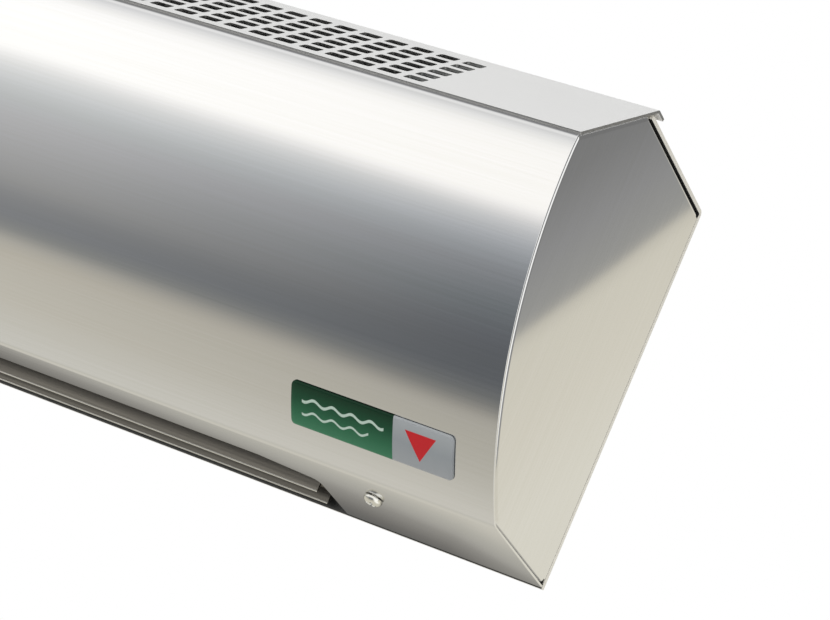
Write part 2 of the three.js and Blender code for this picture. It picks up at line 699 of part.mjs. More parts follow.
// A rubber ring in the back plate's cable hole: a neck through the hole and a rim on the inside.
function cableGrommet() {
  const inside = BACK_SHEET + SEAT;
  const profile = [
    [GROMMET_BORE, -inside - 2.6],
    [GROMMET_BORE + 0.8, -inside - 3.4],
    [GROMMET_NECK, -inside - 3.4],
    [GROMMET_RIM, -inside - 1.6],
    [GROMMET_RIM, -inside],
    [GROMMET_NECK, -inside],
    [GROMMET_NECK, 0],
    [GROMMET_BORE, 0],
    [GROMMET_BORE, -inside - 2.6],
  ].map(([r, y]) => new THREE.Vector2(r, y));
  const { x, z } = grommetPlace();
  return new THREE.LatheGeometry(profile, 24).translate(x, 0, z);
}

// ---- Fan ---------------------------------------------------------------------------------------
const drumRight = bulkheadRight - FAN_END_GAP;
const drumLeft = bulkheadLeft + FAN_END_GAP;
const hubRadius = SHAFT_RADIUS + HUB_WALL;
const bossRadius = SHAFT_RADIUS + 2;

function atAngle([y, z], radius, angle) {
  return [y + radius * Math.cos(angle), z + radius * Math.sin(angle)];
}

function circle(centre, radius, sides) {
  return Array.from({ length: sides }, (_, i) => atAngle(centre, radius, (2 * Math.PI * i) / sides));
}

// Forward-curved blades between two end discs, with one ring that holds them half-way.
function fanDrum() {
  const span = drumRight - drumLeft;
  const sides = BLADE_COUNT;
  const blades = Array.from({ length: BLADE_COUNT }, (_, i) => (
    alongX(bladeOutline((2 * Math.PI * i) / BLADE_COUNT), drumLeft + DISC_SHEET / 2, drumRight - DISC_SHEET / 2)
  ));
  const disc = (start, bore) => (
    alongX(circle(fanAxis, FAN_RADIUS, sides), start, start + DISC_SHEET, [circle(fanAxis, bore, 20)])
  );
  const ringBore = FAN_RADIUS - BLADE_DEPTH - 1.5;
  return join(
    mergeGeometries(blades),
    disc(drumLeft, bossRadius + SEAT),
    disc(drumLeft + (span - DISC_SHEET) / 2, ringBore),
    disc(drumRight - DISC_SHEET, hubRadius + SEAT),
  );
}

// A blade leans forward more and more towards the rim, so its section is a shallow arc.
function bladeOutline(turn) {
  const steps = 2;
  const lean = 0.2;
  const points = Array.from({ length: steps + 1 }, (_, i) => {
    const share = i / steps;
    const radius = FAN_RADIUS - 0.4 - BLADE_DEPTH * (1 - share);
    return atAngle(fanAxis, radius, turn - lean * share * share);
  });
  return sheetOutline(points, BLADE_SHEET);
}

// The rubber hub takes up the drum's wobble between its right disc and the motor's shaft.
function fanHub() {
  const bore = SHAFT_RADIUS + SEAT;
  return turnedX([
    [bore, drumRight - HUB_LENGTH],
    [hubRadius, drumRight - HUB_LENGTH],
    [hubRadius, drumRight + SEAT],
    [hubRadius + HUB_WALL, drumRight + SEAT],
    [hubRadius + HUB_WALL, drumRight + HUB_LENGTH / 3],
    [bore, drumRight + HUB_LENGTH / 3],
    [bore, drumRight - HUB_LENGTH],
  ], fanAxis, 20);
}

const motorFace = bulkheadRight + CHASSIS_SHEET + SEAT;
const motorSplit = motorFace + MOTOR_FRONT_LENGTH;
const motorBore = SHAFT_RADIUS + 0.6;
const motorBlindEnd = motorSplit + SEAT + MOTOR_REAR_LENGTH / 2;

function motorShaft() {
  return rodX(SHAFT_RADIUS, drumRight - HUB_LENGTH + 1, motorBlindEnd - 1, fanAxis, 20);
}

const bushRadius = SHAFT_RADIUS + BUSH_WALL;
const holderFace = bulkheadLeft - CHASSIS_SHEET - SEAT;
const bushEnd = holderFace - 1;
const bushStart = bushEnd - BUSH_LENGTH;

function fanStubShaft() {
  const face = drumLeft - SEAT;
  return turnedX([
    [0, bushStart - SHAFT_RADIUS / 2],
    [SHAFT_RADIUS, bushStart - SHAFT_RADIUS / 2],
    [SHAFT_RADIUS, face - 2],
    [bossRadius + 4, face - 2],
    [bossRadius + 4, face],
    [bossRadius, face],
    [bossRadius, drumLeft + 4],
    [0, drumLeft + 4],
  ], fanAxis, 20);
}

function bearingBush() {
  const bore = SHAFT_RADIUS + RUNNING;
  return turnedX([
    [bore, bushStart],
    [bushRadius, bushStart],
    [bushRadius, bushEnd],
    [bore, bushEnd],
    [bore, bushStart],
  ], fanAxis, 20);
}

// The holder is a flanged cup on the left bulkhead, open for the shaft.
function bearingHolder() {
  const bore = bushRadius + SEAT;
  const outside = bore + HOLDER_WALL;
  const flangeFace = holderFace - HOLDER_FLANGE / 3;
  return turnedX([
    [bore, bushStart],
    [outside - 1, bushStart],
    [outside, bushStart + 1],
    [outside, flangeFace],
    [outside + HOLDER_FLANGE, flangeFace],
    [outside + HOLDER_FLANGE, holderFace],
    [bore, holderFace],
    [bore, bushStart],
  ], fanAxis, 24);
}

function motorScrewPlaces() {
  const radius = MOTOR_RADIUS + MOTOR_FLANGE / 2;
  return [90, 210, 330].map((degrees) => (
    atAngle(fanAxis, radius, THREE.MathUtils.degToRad(degrees))
  ));
}

const flangeSheet = 2;

function motorFrontShell() {
  const shell = turnedX([
    [motorBore, motorFace],
    [MOTOR_RADIUS + MOTOR_FLANGE, motorFace],
    [MOTOR_RADIUS + MOTOR_FLANGE, motorFace + flangeSheet],
    [MOTOR_RADIUS, motorFace + flangeSheet],
    [MOTOR_RADIUS, motorSplit],
    [motorBore, motorSplit],
    [motorBore, motorFace],
  ], fanAxis, 36);
  const holes = motorScrewPlaces().map((place) => (
    rodX(SCREW_RADIUS + RUNNING, motorFace - 1, motorFace + flangeSheet + 1, place, 12)
  ));
  return cut(shell, ...holes);
}

function motorRearShell() {
  const start = motorSplit + SEAT;
  const end = start + MOTOR_REAR_LENGTH;
  return turnedX([
    [0, motorBlindEnd],
    [motorBore, motorBlindEnd],
    [motorBore, start],
    [MOTOR_RADIUS, start],
    [MOTOR_RADIUS, end - 6],
    [MOTOR_RADIUS - 4, end - 1],
    [MOTOR_RADIUS * 0.4, end],
    [MOTOR_RADIUS * 0.4, end + 4],
    [0, end + 4],
  ], fanAxis, 36);
}

function motorScrew(place) {
  const under = motorFace + flangeSheet + SEAT;
  return panHeadScrew(SCREW_RADIUS, SCREW_HEAD_RADIUS, SCREW_HEAD_HEIGHT, under - bulkheadRight + 2, 10)
    .rotateY(-Math.PI / 2)
    .translate(under, ...place);
}

// ---- Air duct ----------------------------------------------------------------------------------
// The volute starts under the hood, comes close to the drum at the top, opens out round its rear
// side and runs down beside the back plate as the rear wall of the outlet duct.
function rearVolute() {
  const close = FAN_RADIUS + FAN_CLEARANCE;
  const wide = fanFromWall - BACK_SHEET - VOLUTE_FROM_BACK;
  const start = THREE.MathUtils.degToRad(75);
  const steps = 10;
  const scroll = Array.from({ length: steps + 1 }, (_, i) => {
    const share = i / steps;
    return atAngle(fanAxis, close + (wide - close) * share, start * (1 - share));
  });
  const topFromWall = fanFromWall - VOLUTE_START;
  const top = [-topFromWall, hoodAt(topFromWall, BACK_SHEET + SEAT + SHEET_END)];
  const low = [-BACK_SHEET - VOLUTE_FROM_BACK / 2, vanePivots().rear[1] + VANE_CHORD / 2 + 6];
  const outline = sheetOutline([top, ...scroll, low], CHASSIS_SHEET);
  return alongX(outline, bulkheadLeft + SEAT, bulkheadRight - SEAT);
}

// The stabiliser runs from the front cover to a tongue close under the drum, then down to the
// outlet's front edge as the front wall of the outlet duct.
function frontStabiliser() {
  const seat = frontRadius - COVER_SHEET - SEAT - SHEET_END;
  const meet = Math.asin((curveCentre[1] - fanAxis[1] + STABILISER_DROP) / seat);
  const [front] = arcPoints(curveCentre, seat, meet, meet, 1);
  const near = FAN_RADIUS + FAN_CLEARANCE - 1;
  const tongue = Array.from({ length: 4 }, (_, i) => (
    atAngle(fanAxis, near, THREE.MathUtils.degToRad(-124 + 8 * i))
  ));
  const edge = OUTLET_DEPTH + CHASSIS_SHEET + 1;
  const low = [-edge, undersideAt(edge, COVER_SHEET + SEAT) + SHEET_END];
  const outline = sheetOutline([front, ...tongue, low], CHASSIS_SHEET);
  return alongX(outline, bulkheadLeft + SEAT, bulkheadRight - SEAT);
}

function vanePivots() {
  const pivot = (fromWall) => [-fromWall, undersideAt(fromWall) + VANE_CHORD / 2];
  return { front: pivot(FRONT_VANE_FROM_WALL), rear: pivot(REAR_VANE_FROM_WALL) };
}

// A vane is a thin blade with a rolled bead along its middle and a pin at each end of the bead.
function vane(which) {
  const [y, z] = vanePivots()[which];
  const half = VANE_CHORD / 2;
  const thick = VANE_SHEET / 2;
  const blade = [
    [y - thick, z + half],
    [y - thick, z - half + thick],
    [y - thick / 2, z - half],
    [y + thick / 2, z - half],
    [y + thick, z - half + thick],
    [y + thick, z + half],
  ];
  const left = bulkheadLeft + VANE_GAP;
  const right = bulkheadRight - VANE_GAP;
  return join(
    alongX(blade, left, right),
    rodX(VANE_BEAD, left, right, [y, z], 12),
    rodX(VANE_PIN, bulkheadLeft - CHASSIS_SHEET, bulkheadRight + CHASSIS_SHEET, [y, z], 12),
  );
}

// ---- Heater ------------------------------------------------------------------------------------
const rodLeft = bulkheadLeft - CHASSIS_SHEET - ROD_OVERHANG;
const rodRight = bulkheadRight + CHASSIS_SHEET + ROD_OVERHANG;

function rodPlaces() {
  return Array.from({ length: ROD_COUNT }, (_, i) => (
    [-FIRST_ROD_FROM_WALL - ROD_PITCH * i, BASE + ROD_HEIGHT]
  ));
}

// A sheathed rod with a thinner terminal stud at each end.
function heaterRod(place) {
  return turnedX([
    [0, rodLeft - STUD_LENGTH],
    [STUD_RADIUS, rodLeft - STUD_LENGTH],
    [STUD_RADIUS, rodLeft],
    [ROD_RADIUS, rodLeft],
    [ROD_RADIUS, rodRight],
    [STUD_RADIUS, rodRight],
    [STUD_RADIUS, rodRight + STUD_LENGTH],
    [0, rodRight + STUD_LENGTH],
  ], place, 16);
}

// A flat strap over the studs of two neighbouring rods.
function heaterLink(first, start) {
  const [a, b] = rodPlaces().slice(first, first + 2);
  const width = STUD_RADIUS + 2;
  const strap = [
    ...Array.from({ length: 9 }, (_, i) => atAngle(a, width, -Math.PI / 2 + (Math.PI * i) / 8)),
    ...Array.from({ length: 9 }, (_, i) => atAngle(b, width, Math.PI / 2 + (Math.PI * i) / 8)),
  ];
  const holes = [a, b].map((centre) => circle(centre, STUD_RADIUS + SEAT, 12));
  return alongX(strap, start, start + CHASSIS_SHEET, holes);
}

// A round cut-out on a small plate that sits on the left bulkhead, above the rods.
function thermalCutout() {
  const face = bulkheadLeft - CHASSIS_SHEET - SEAT;
  const place = [-FIRST_ROD_FROM_WALL - ROD_PITCH, BASE + ROD_HEIGHT + CUTOUT_ABOVE_RODS];
  const [y, z] = place;
  const plate = box(
    [face - TAB_SHEET, y - CUTOUT_RADIUS * 1.5, z - CUTOUT_RADIUS / 2],
    [face, y + CUTOUT_RADIUS * 1.5, z + CUTOUT_RADIUS / 2],
  );
  const tabs = [-1, 1].map((side) => {
    const middle = y + (side * CUTOUT_RADIUS) / 2;
    return box(
      [face - CUTOUT_LENGTH - TAB_LENGTH, middle - TAB_WIDTH / 2, z - TAB_SHEET / 2],
      [face - CUTOUT_LENGTH / 2, middle + TAB_WIDTH / 2, z + TAB_SHEET / 2],
    );
  });
  const can = rodX(CUTOUT_RADIUS, face - CUTOUT_LENGTH, face - TAB_SHEET / 2, place, 20);
  return join(plate, can, ...tabs);
}

// ---- Electrics ---------------------------------------------------------------------------------
const wallSeat = BACK_SHEET + SEAT;

function terminalBlock() {
  const left = LEFT + TERMINAL_FROM_END;
  const low = BASE + TERMINAL_ABOVE_BASE;
  const body = box(
    [left, -wallSeat - TERMINAL_DEPTH, low],
    [left + TERMINAL_LENGTH, -wallSeat, low + TERMINAL_HEIGHT],
  );
  const poles = 5;
  const pitch = TERMINAL_LENGTH / poles;
  const wells = [];
  for (let i = 0; i < poles; i += 1) {
    const x = left + pitch * (i + 0.5);
    const face = -wallSeat - TERMINAL_DEPTH;
    wells.push(rodY(2.4, face - 1, face + 6, [x, low + TERMINAL_HEIGHT / 2], 12));
    wells.push(rodZ(1.9, low - 1, low + 6, [x, face + TERMINAL_DEPTH / 2], 10));
  }
  return cut(body, ...wells);
}

// The capacitor lies along the unit under the motor: [its axis], its left end and its right end.
function capacitorPlace() {
  const fromWall = wallSeat + CHASSIS_SHEET + SEAT + CAPACITOR_RADIUS;
  const end = RIGHT - CAPACITOR_FROM_END;
  return { axis: [-fromWall, BASE + CAPACITOR_ABOVE_BASE], start: end - CAPACITOR_LENGTH, end };
}

function capacitor() {
  const { axis, start, end } = capacitorPlace();
  const rounded = CAPACITOR_RADIUS / 10;
  const can = turnedX([
    [0, start],
    [CAPACITOR_RADIUS - rounded, start],
    [CAPACITOR_RADIUS, start + rounded],
    [CAPACITOR_RADIUS, end - rounded],
    [CAPACITOR_RADIUS - rounded, end],
    [0, end],
  ], axis, 28);
  const tabs = [-1, 1].map((side) => {
    const y = axis[0] + (side * CAPACITOR_RADIUS) / 2;
    return box(
      [end - 1, y - TAB_SHEET / 2, axis[1] - TAB_WIDTH / 2],
      [end + TAB_LENGTH, y + TAB_SHEET / 2, axis[1] + TAB_WIDTH / 2],
    );
  });
  return join(can, ...tabs);
}

// A band round the capacitor with a foot on the back plate.
function capacitorClip() {
  const { axis, start, end } = capacitorPlace();
  const [low, high] = [(start + end) / 2 - CLIP_WIDTH / 2, (start + end) / 2 + CLIP_WIDTH / 2];
  const inner = CAPACITOR_RADIUS + SEAT;
  const band = rodX(inner + CHASSIS_SHEET, low, high, axis, 28);
  const foot = box(
    [low, -wallSeat - CHASSIS_SHEET, axis[1] - CAPACITOR_RADIUS],
    [high, -wallSeat, axis[1] + CAPACITOR_RADIUS],
  );
  return cut(join(band, foot), rodX(inner, low - 1, high + 1, axis, 28));
}

// Each switch is built flat on the underside: a bezel outside, a body inside, an open pocket for
// the rocker, and two push-on tabs on top.
function rockerHousing(x) {
  const [width, run] = SWITCH_BODY.map((size) => size / 2);
  const [bezelWidth, bezelRun] = SWITCH_BEZEL.map((size) => size / 2);
  const [pocketWidth, pocketRun] = SWITCH_POCKET.map((size) => size / 2);
  const s = -switchSlope;
  const tabs = [-1, 1].map((side) => {
    const [tabX, tabS] = [x + (side * width) / 2, s + (side * run) / 3];
    return box(
      [tabX - TAB_SHEET / 2, tabS - TAB_WIDTH / 2, SWITCH_DEPTH - 1],
      [tabX + TAB_SHEET / 2, tabS + TAB_WIDTH / 2, SWITCH_DEPTH + TAB_LENGTH],
    );
  });
  const body = join(
    box([x - width, s - run, -SEAT - BEZEL_SHEET / 2], [x + width, s + run, SWITCH_DEPTH]),
    box([x - bezelWidth, s - bezelRun, -SEAT - BEZEL_SHEET], [x + bezelWidth, s + bezelRun, -SEAT]),
    ...tabs,
  );
  const pocketTop = ROCKER_PIVOT + ROCKER_LENGTH / 2;
  const pocket = box(
    [x - pocketWidth, s - pocketRun, -SEAT - 2 * BEZEL_SHEET],
    [x + pocketWidth, s + pocketRun, pocketTop],
  );
  const pinHole = rodX(ROCKER_PIN + RUNNING, x - width - 1, x + width + 1, [s, ROCKER_PIVOT], 12);
  return onUnderside(cut(body, pocket, pinHole));
}

// A rocker is a block with a shallow V face. It rests tipped towards the wall, which is off.
function rocker(x) {
  const width = SWITCH_POCKET[0] / 2 - SEAT;
  const half = ROCKER_LENGTH / 2;
  const high = ROCKER_LENGTH * 0.155;
  const low = -ROCKER_LENGTH * 0.3;
  const section = [
    [-half, high],
    [-half, low],
    [0, low * 0.75],
    [half, low],
    [half, high],
  ];
  const block = join(
    alongX(section, -width, width),
    rodX(ROCKER_PIN, -SWITCH_BODY[0] / 2, SWITCH_BODY[0] / 2, [0, 0], 10),
  );
  block.rotateX(THREE.MathUtils.degToRad(-ROCKER_TIP)).translate(x, -switchSlope, ROCKER_PIVOT);
  return onUnderside(block);
}

function loomPlace() {
  return [-LOOM_FROM_WALL, BASE + LOOM_HEIGHT];
}

function lead(points, steps) {
  const curve = new THREE.CatmullRomCurve3(points.map((point) => new THREE.Vector3(...point)));
  const section = new THREE.Shape();
  section.absarc(0, 0, LEAD_RADIUS, 0, 2 * Math.PI);
  return new THREE.ExtrudeGeometry(section, {
    steps,
    curveSegments: 3,
    bevelEnabled: false,
    extrudePath: curve,
  });
}

// From the terminal block's top, through both bulkheads behind the volute, to the motor.
function motorLead() {
  const [y, z] = loomPlace();
  const blockTop = BASE + TERMINAL_ABOVE_BASE + TERMINAL_HEIGHT + SEAT;
  const blockX = LEFT + TERMINAL_FROM_END + TERMINAL_LENGTH - 6;
  const onMotor = atAngle(fanAxis, MOTOR_RADIUS + SEAT + LEAD_RADIUS * 0.2, Math.PI / 5);
  const motorX = motorSplit + MOTOR_REAR_LENGTH / 2;
  return lead([
    [blockX, y - 3, blockTop],
    [blockX, y - 2, blockTop + 4],
    [blockX + 5, y, z],
    [bulkheadLeft - 8, y, z],
    [bulkheadLeft, y, z],
    [0, y, z],
    [bulkheadRight, y, z],
    [bulkheadRight + 8, y, z],
    [motorX, y - 2, z + 1],
    [motorX + 1, ...onMotor],
  ], 36);
}

// A terminal on the lower face of the block, by its share of the block's length.
function lowerTerminal(share) {
  return [
    LEFT + TERMINAL_FROM_END + TERMINAL_LENGTH * share,
    -wallSeat - TERMINAL_DEPTH / 2,
    BASE + TERMINAL_ABOVE_BASE - SEAT,
  ];
}

// From a terminal of the block down to the top of a switch's tab.
function switchLead(index) {
  const [width, run] = SWITCH_BODY.map((size) => size / 2);
  const above = SWITCH_DEPTH + TAB_LENGTH + 2 * SEAT;
  const x = switchPlaces[index] - width / 2;
  const end = new THREE.Vector3(x, -switchSlope - run / 3, above).applyMatrix4(underside);
  const [startX, startY, startZ] = lowerTerminal(0.1 + 0.4 * index);
  return lead([
    [startX, startY, startZ],
    [startX, startY, startZ - LEAD_BEND],
    [(startX + end.x) / 2, (startY + end.y) / 2, (startZ + end.z) / 2],
    [end.x, end.y, end.z + LEAD_BEND],
    end.toArray(),
  ], 12);
}

// From a terminal of the block down to the stud of the rod next to the wall.
function heaterLead() {
  const [y, z] = rodPlaces()[0];
  const [startX, startY, startZ] = lowerTerminal(0.9);
  const stud = rodLeft - STUD_LENGTH;
  return lead([
    [startX, startY, startZ],
    [startX, startY, startZ - LEAD_BEND],
    [stud - LEAD_BEND, y, z + LEAD_BEND],
    [stud - LEAD_BEND, y, z + 1],
    [stud - 2 * SEAT, y, z],
  ], 14);
}

// ---- The assembly ------------------------------------------------------------------------------
const casing = group(
  piece('back_plate', backPlate(), creamPaint),
  piece('intake_grille', intakeGrille(), lightPaint),
  piece('front_cover', frontCover(), stainless),
  piece('end_cap_right', endCap('right'), stainless),
  piece('end_cap_left', endCap('left'), stainless),
  piece('bulkhead_right', bulkhead('right'), galvanised),
  piece('bulkhead_left', bulkhead('left'), galvanised),
  piece('badge', badge(), printedLabel),
  piece('cover_screw_right', coverScrew('right'), zincScrew),
  piece('cover_screw_left', coverScrew('left'), zincScrew),
  piece('cable_grommet', cableGrommet(), rubber),
  ...wallwardPlaces().map(({ name, x, z }) => (
    piece(name, wallwardScrew(x, z, wallSeat + CHASSIS_SHEET + SEAT), zincScrew)
  )),
);

const fan = group(
  piece('fan_drum', fanDrum(), galvanised),
  piece('fan_hub', fanHub(), rubber),
  piece('motor_shaft', motorShaft(), zincScrew),
  piece('fan_stub_shaft', fanStubShaft(), zincScrew),
  piece('bearing_bush', bearingBush(), bronze),
  piece('bearing_holder', bearingHolder(), blackPlastic),
  piece('motor_front_shell', motorFrontShell(), castZinc),
  piece('motor_rear_shell', motorRearShell(), castZinc),
  ...motorScrewPlaces().map((place, i) => (
    piece(`motor_screw_${i + 1}`, motorScrew(place), zincScrew)
  )),
);

const duct = group(
  piece('rear_volute', rearVolute(), galvanised),
  piece('front_stabiliser', frontStabiliser(), galvanised),
  piece('vane_front', vane('front'), darkSteel),
  piece('vane_rear', vane('rear'), darkSteel),
);

const heater = group(
  ...rodPlaces().map((place, i) => piece(`heater_rod_${i + 1}`, heaterRod(place), heaterSteel)),
  piece('heater_link_right', heaterLink(0, rodRight + SEAT), zincScrew),
  piece('heater_link_left', heaterLink(1, rodLeft - SEAT - CHASSIS_SHEET), zincScrew),
  piece('thermal_cutout', thermalCutout(), blackPlastic),
);

const electrics = group(
  piece('terminal_block', terminalBlock(), whitePlastic),
  piece('capacitor', capacitor(), whitePlastic),
  piece('capacitor_clip', capacitorClip(), galvanised),
  piece('switch_housing_fan', rockerHousing(switchPlaces[1]), blackPlastic),
  piece('switch_housing_heat', rockerHousing(switchPlaces[0]), blackPlastic),
  piece('switch_rocker_fan', rocker(switchPlaces[1]), blackPlastic),
  piece('switch_rocker_heat', rocker(switchPlaces[0]), redPlastic),
  piece('motor_lead', motorLead(), greyInsulation),
  piece('switch_lead_fan', switchLead(1), greyInsulation),
  piece('switch_lead_heat', switchLead(0), greyInsulation),
  piece('heater_lead', heaterLead(), greyInsulation),
);

export default group(casing, fan, duct, heater, electrics);
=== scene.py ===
"""Air curtain: a slim wall unit with a curved stainless front, dressed for a studio photograph.

Metres, in the part's own frame: X along the wall, the wall at y = 0, the room towards -Y, Z up.
Sizes are written in millimetres and scaled once, where a mesh is made.
"""

import math

import bmesh
import bpy
import numpy as np
from mathutils import Matrix, Vector
from mathutils.geometry import delaunay_2d_cdt


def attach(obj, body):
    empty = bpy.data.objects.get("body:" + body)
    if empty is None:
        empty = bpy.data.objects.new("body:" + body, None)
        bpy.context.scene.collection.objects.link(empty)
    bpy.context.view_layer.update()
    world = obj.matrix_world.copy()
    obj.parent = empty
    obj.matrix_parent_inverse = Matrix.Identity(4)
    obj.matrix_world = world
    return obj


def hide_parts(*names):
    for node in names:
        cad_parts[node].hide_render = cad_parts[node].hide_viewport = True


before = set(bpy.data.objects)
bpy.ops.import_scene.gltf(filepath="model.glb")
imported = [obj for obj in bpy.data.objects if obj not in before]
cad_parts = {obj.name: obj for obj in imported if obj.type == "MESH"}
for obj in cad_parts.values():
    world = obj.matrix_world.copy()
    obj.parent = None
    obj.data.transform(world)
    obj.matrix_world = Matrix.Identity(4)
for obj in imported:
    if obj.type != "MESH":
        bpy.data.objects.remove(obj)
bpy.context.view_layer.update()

MM = 0.001
RNG = np.random.default_rng(7)

# ---- Sizes of the casing, in millimetres --------------------------------------------------------
HALF = 300.0
BASE, TOP = -90.0, 90.0
DEPTH = 116.0
RIDGE = 65.5
REAR_TOP = 72.0
TILT = math.radians(10.5)
INTAKE = math.radians(30.3)
FRONT_CORNER = TOP - (DEPTH - RIDGE) * math.tan(INTAKE)
STRAIGHT = 8.5
CURVE_TOP = FRONT_CORNER - STRAIGHT
BEND_FROM_WALL = 57.1
CURVE_RUN = DEPTH - BEND_FROM_WALL
CURVE_DROP = CURVE_TOP - (BASE + BEND_FROM_WALL * math.tan(TILT))
CURVE_R = (CURVE_RUN ** 2 + CURVE_DROP ** 2) / (2 * CURVE_RUN)
CURVE_C = np.array([CURVE_R - DEPTH, CURVE_TOP])
BEND_R = 8.0
COVER, CHASSIS, BACK, SEAT = 1.0, 1.2, 1.8, 0.3
COVER_LINE, COVER_RETURN = 0.4, 5.0
HOOD_FRONT, HOOD_DROP = RIDGE + 2.5, 3.3
HOOD = math.atan2(TOP - HOOD_DROP - REAR_TOP, HOOD_FRONT)
BULK_R, BULK_L = 211.0, -226.0
FAN = np.array([-58.0, 8.0])
FAN_R = 37.0


# ---- Colours and nodes --------------------------------------------------------------------------
def srgb(code, alpha=None):
    """A hex colour as linear numbers; three, or four with an alpha."""
    parts = [int(code[i:i + 2], 16) / 255 for i in (1, 3, 5)]
    linear = [p / 12.92 if p <= 0.04045 else ((p + 0.055) / 1.055) ** 2.4 for p in parts]
    return (*linear, 1.0 if alpha is None else alpha)


def add(tree, kind, inputs=None, **settings):
    """Adds a node. Settings are its properties; inputs are values or other nodes' outputs."""
    node = tree.nodes.new("ShaderNode" + kind)
    for key, value in settings.items():
        setattr(node, key, value)
    for key, value in (inputs or {}).items():
        if isinstance(value, bpy.types.NodeSocket):
            tree.links.new(value, node.inputs[key])
        else:
            node.inputs[key].default_value = value
    return node


def ramp(tree, factor, stops):
    """A colour ramp through (position, hex colour) stops."""
    node = add(tree, "ValToRGB", {"Fac": factor})
    line = node.color_ramp
    while len(line.elements) > 1:
        line.elements.remove(line.elements[-1])
    line.elements[0].position, line.elements[0].color = stops[0][0], srgb(stops[0][1])
    for place, code in stops[1:]:
        line.elements.new(place).color = srgb(code)
    return node.outputs["Color"]


def start_material(name, **sockets):
    """A node material with one Principled shader, whose even values are set on its own sockets."""
    material = bpy.data.materials.new(name)
    material.use_nodes = True
    tree = material.node_tree
    shader = tree.nodes["Principled BSDF"]
    for key, value in sockets.items():
        shader.inputs[key.replace("_", " ")].default_value = value
    return material, tree, shader


def wire(tree, shader, **outputs):
    """Links outputs to the shader's sockets of these names."""
    for key, value in outputs.items():
        tree.links.new(value, shader.inputs[key.replace("_", " ")])


def place(tree, scale):
    """The piece's own coordinates in metres, times a scale on each axis."""
    where = add(tree, "TexCoord").outputs["Object"]
    return add(tree, "Mapping", {"Vector": where, "Scale": scale}).outputs["Vector"]


def grain(tree, scale, detail=2.0, rough=0.5):
    """Noise on the piece's own coordinates, stretched by the scale on each axis."""
    return add(tree, "TexNoise", {
        "Vector": place(tree, scale), "Scale": 1.0, "Detail": detail, "Roughness": rough,
    }).outputs["Fac"]


def spread(tree, value, low, high, start=0.3, end=0.7):
    """Maps start..end of a value to low..high."""
    return add(tree, "MapRange", {
        "Value": value, "From Min": start, "From Max": end, "To Min": low, "To Max": high,
    }).outputs["Result"]


def relief(tree, height, distance, strength=1.0, below=None):
    """A bump whose full height is the distance, in metres."""
    inputs = {"Height": height, "Distance": distance, "Strength": strength}
    if below is not None:
        inputs["Normal"] = below
    return add(tree, "Bump", inputs).outputs["Normal"]


# ---- Materials ----------------------------------------------------------------------------------
def surface(name, tone, stops, rough=None, bump=None, **sockets):
    """A node material: colour stops over the noise tone and, where they are given, a roughness
    (noise, low, high) and a relief (noise, height, strength). A noise is its scale and detail."""
    material, tree, shader = start_material(name, **sockets)
    wire(tree, shader, Base_Color=ramp(tree, grain(tree, *tone), stops))
    if rough:
        noise, low, high = rough
        wire(tree, shader, Roughness=spread(tree, grain(tree, *noise), low, high))
    if bump:
        noise, height, strength = bump
        wire(tree, shader, Normal=relief(tree, grain(tree, *noise), height, strength))
    return material


def rolled_stainless(name, brushing, rough=(0.06, 0.1)):
    """Cold-rolled stainless sheet with a fine ground finish: almost a mirror, drawn out a little
    along the grinding lines, and never quite flat, so that reflections waver over 100 to 200 mm."""
    material, tree, shader = start_material(name, Metallic=1.0)
    # Grinding lines are 0.1 mm apart; they are drawn 0.8 mm apart so that they show.
    lines = grain(tree, brushing, detail=3.0, rough=0.6)
    wave = grain(tree, (5.0, 8.0, 8.0), detail=1.0)
    wire(tree, shader, Base_Color=ramp(tree, lines, [(0.25, "#cecece"), (0.75, "#d2d2d4")]),
         Roughness=spread(tree, lines, *rough),
         Normal=relief(tree, lines, 0.000001, 0.6, relief(tree, wave, 0.0003)))
    return material


def powder_coat(name, code, pale, dark):
    """Powder-coated steel sheet: satin, with the slight orange peel of a baked powder, 1.5 mm wide."""
    peel = ((650.0,) * 3, 2.0)
    return surface(
        name, ((9.0,) * 3, 4.0), [(0.3, pale), (0.7, dark)], (peel, 0.38, 0.48), (peel, 0.00002, 0.7),
        Base_Color=srgb(code), Roughness=0.42, Coat_Weight=0.15, Coat_Roughness=0.25)


def galvanised_steel(name):
    """Hot-dip galvanised sheet: grey zinc with flat crystals 4 to 8 mm across."""
    material, tree, shader = start_material(name, Metallic=0.9, Roughness=0.4)
    spangle = add(tree, "TexVoronoi", {
        "Vector": place(tree, (160.0,) * 3), "Scale": 1.0, "Randomness": 1.0,
    }, feature="F1").outputs["Color"]
    cell = add(tree, "SeparateColor", {"Color": spangle}).outputs["Red"]
    haze = grain(tree, (30.0,) * 3, detail=5.0)
    wire(tree, shader, Base_Color=ramp(tree, cell, [(0.0, "#9da1a3"), (1.0, "#b9bdbf")]),
         Roughness=spread(tree, haze, 0.32, 0.5), Normal=relief(tree, cell, 0.00001, 0.5))
    return material


def turned_metal(name, code, shade, rough, scale):
    """Machined or drawn metal: faint tool marks round or along the piece."""
    marks = (scale, 2.0)
    return surface(
        name, marks, [(0.3, code), (0.7, shade)], (marks, rough * 0.8, rough * 1.3), (marks, 0.00001, 0.4),
        Metallic=1.0, Roughness=rough)


def blasted_casting(name):
    """Die-cast alloy, shot-blasted: a dull grey with a 0.5 mm grain and a few darker flow marks."""
    return surface(
        name, ((40.0,) * 3, 4.0), [(0.3, "#7f8283"), (0.7, "#979a9b")],
        bump=(((1800.0,) * 3, 1.0), 0.00004, 0.6), Metallic=0.85, Roughness=0.55)


def heated_sheath(name):
    """Steel heater tube after its first firing: straw and brown heat colours along the rod."""
    tint = ((14.0, 60.0, 60.0), 3.0)
    return surface(
        name, tint, [(0.3, "#4b433b"), (0.5, "#6a5b48"), (0.7, "#56524f")], (tint, 0.35, 0.5),
        Metallic=0.9, Roughness=0.42)


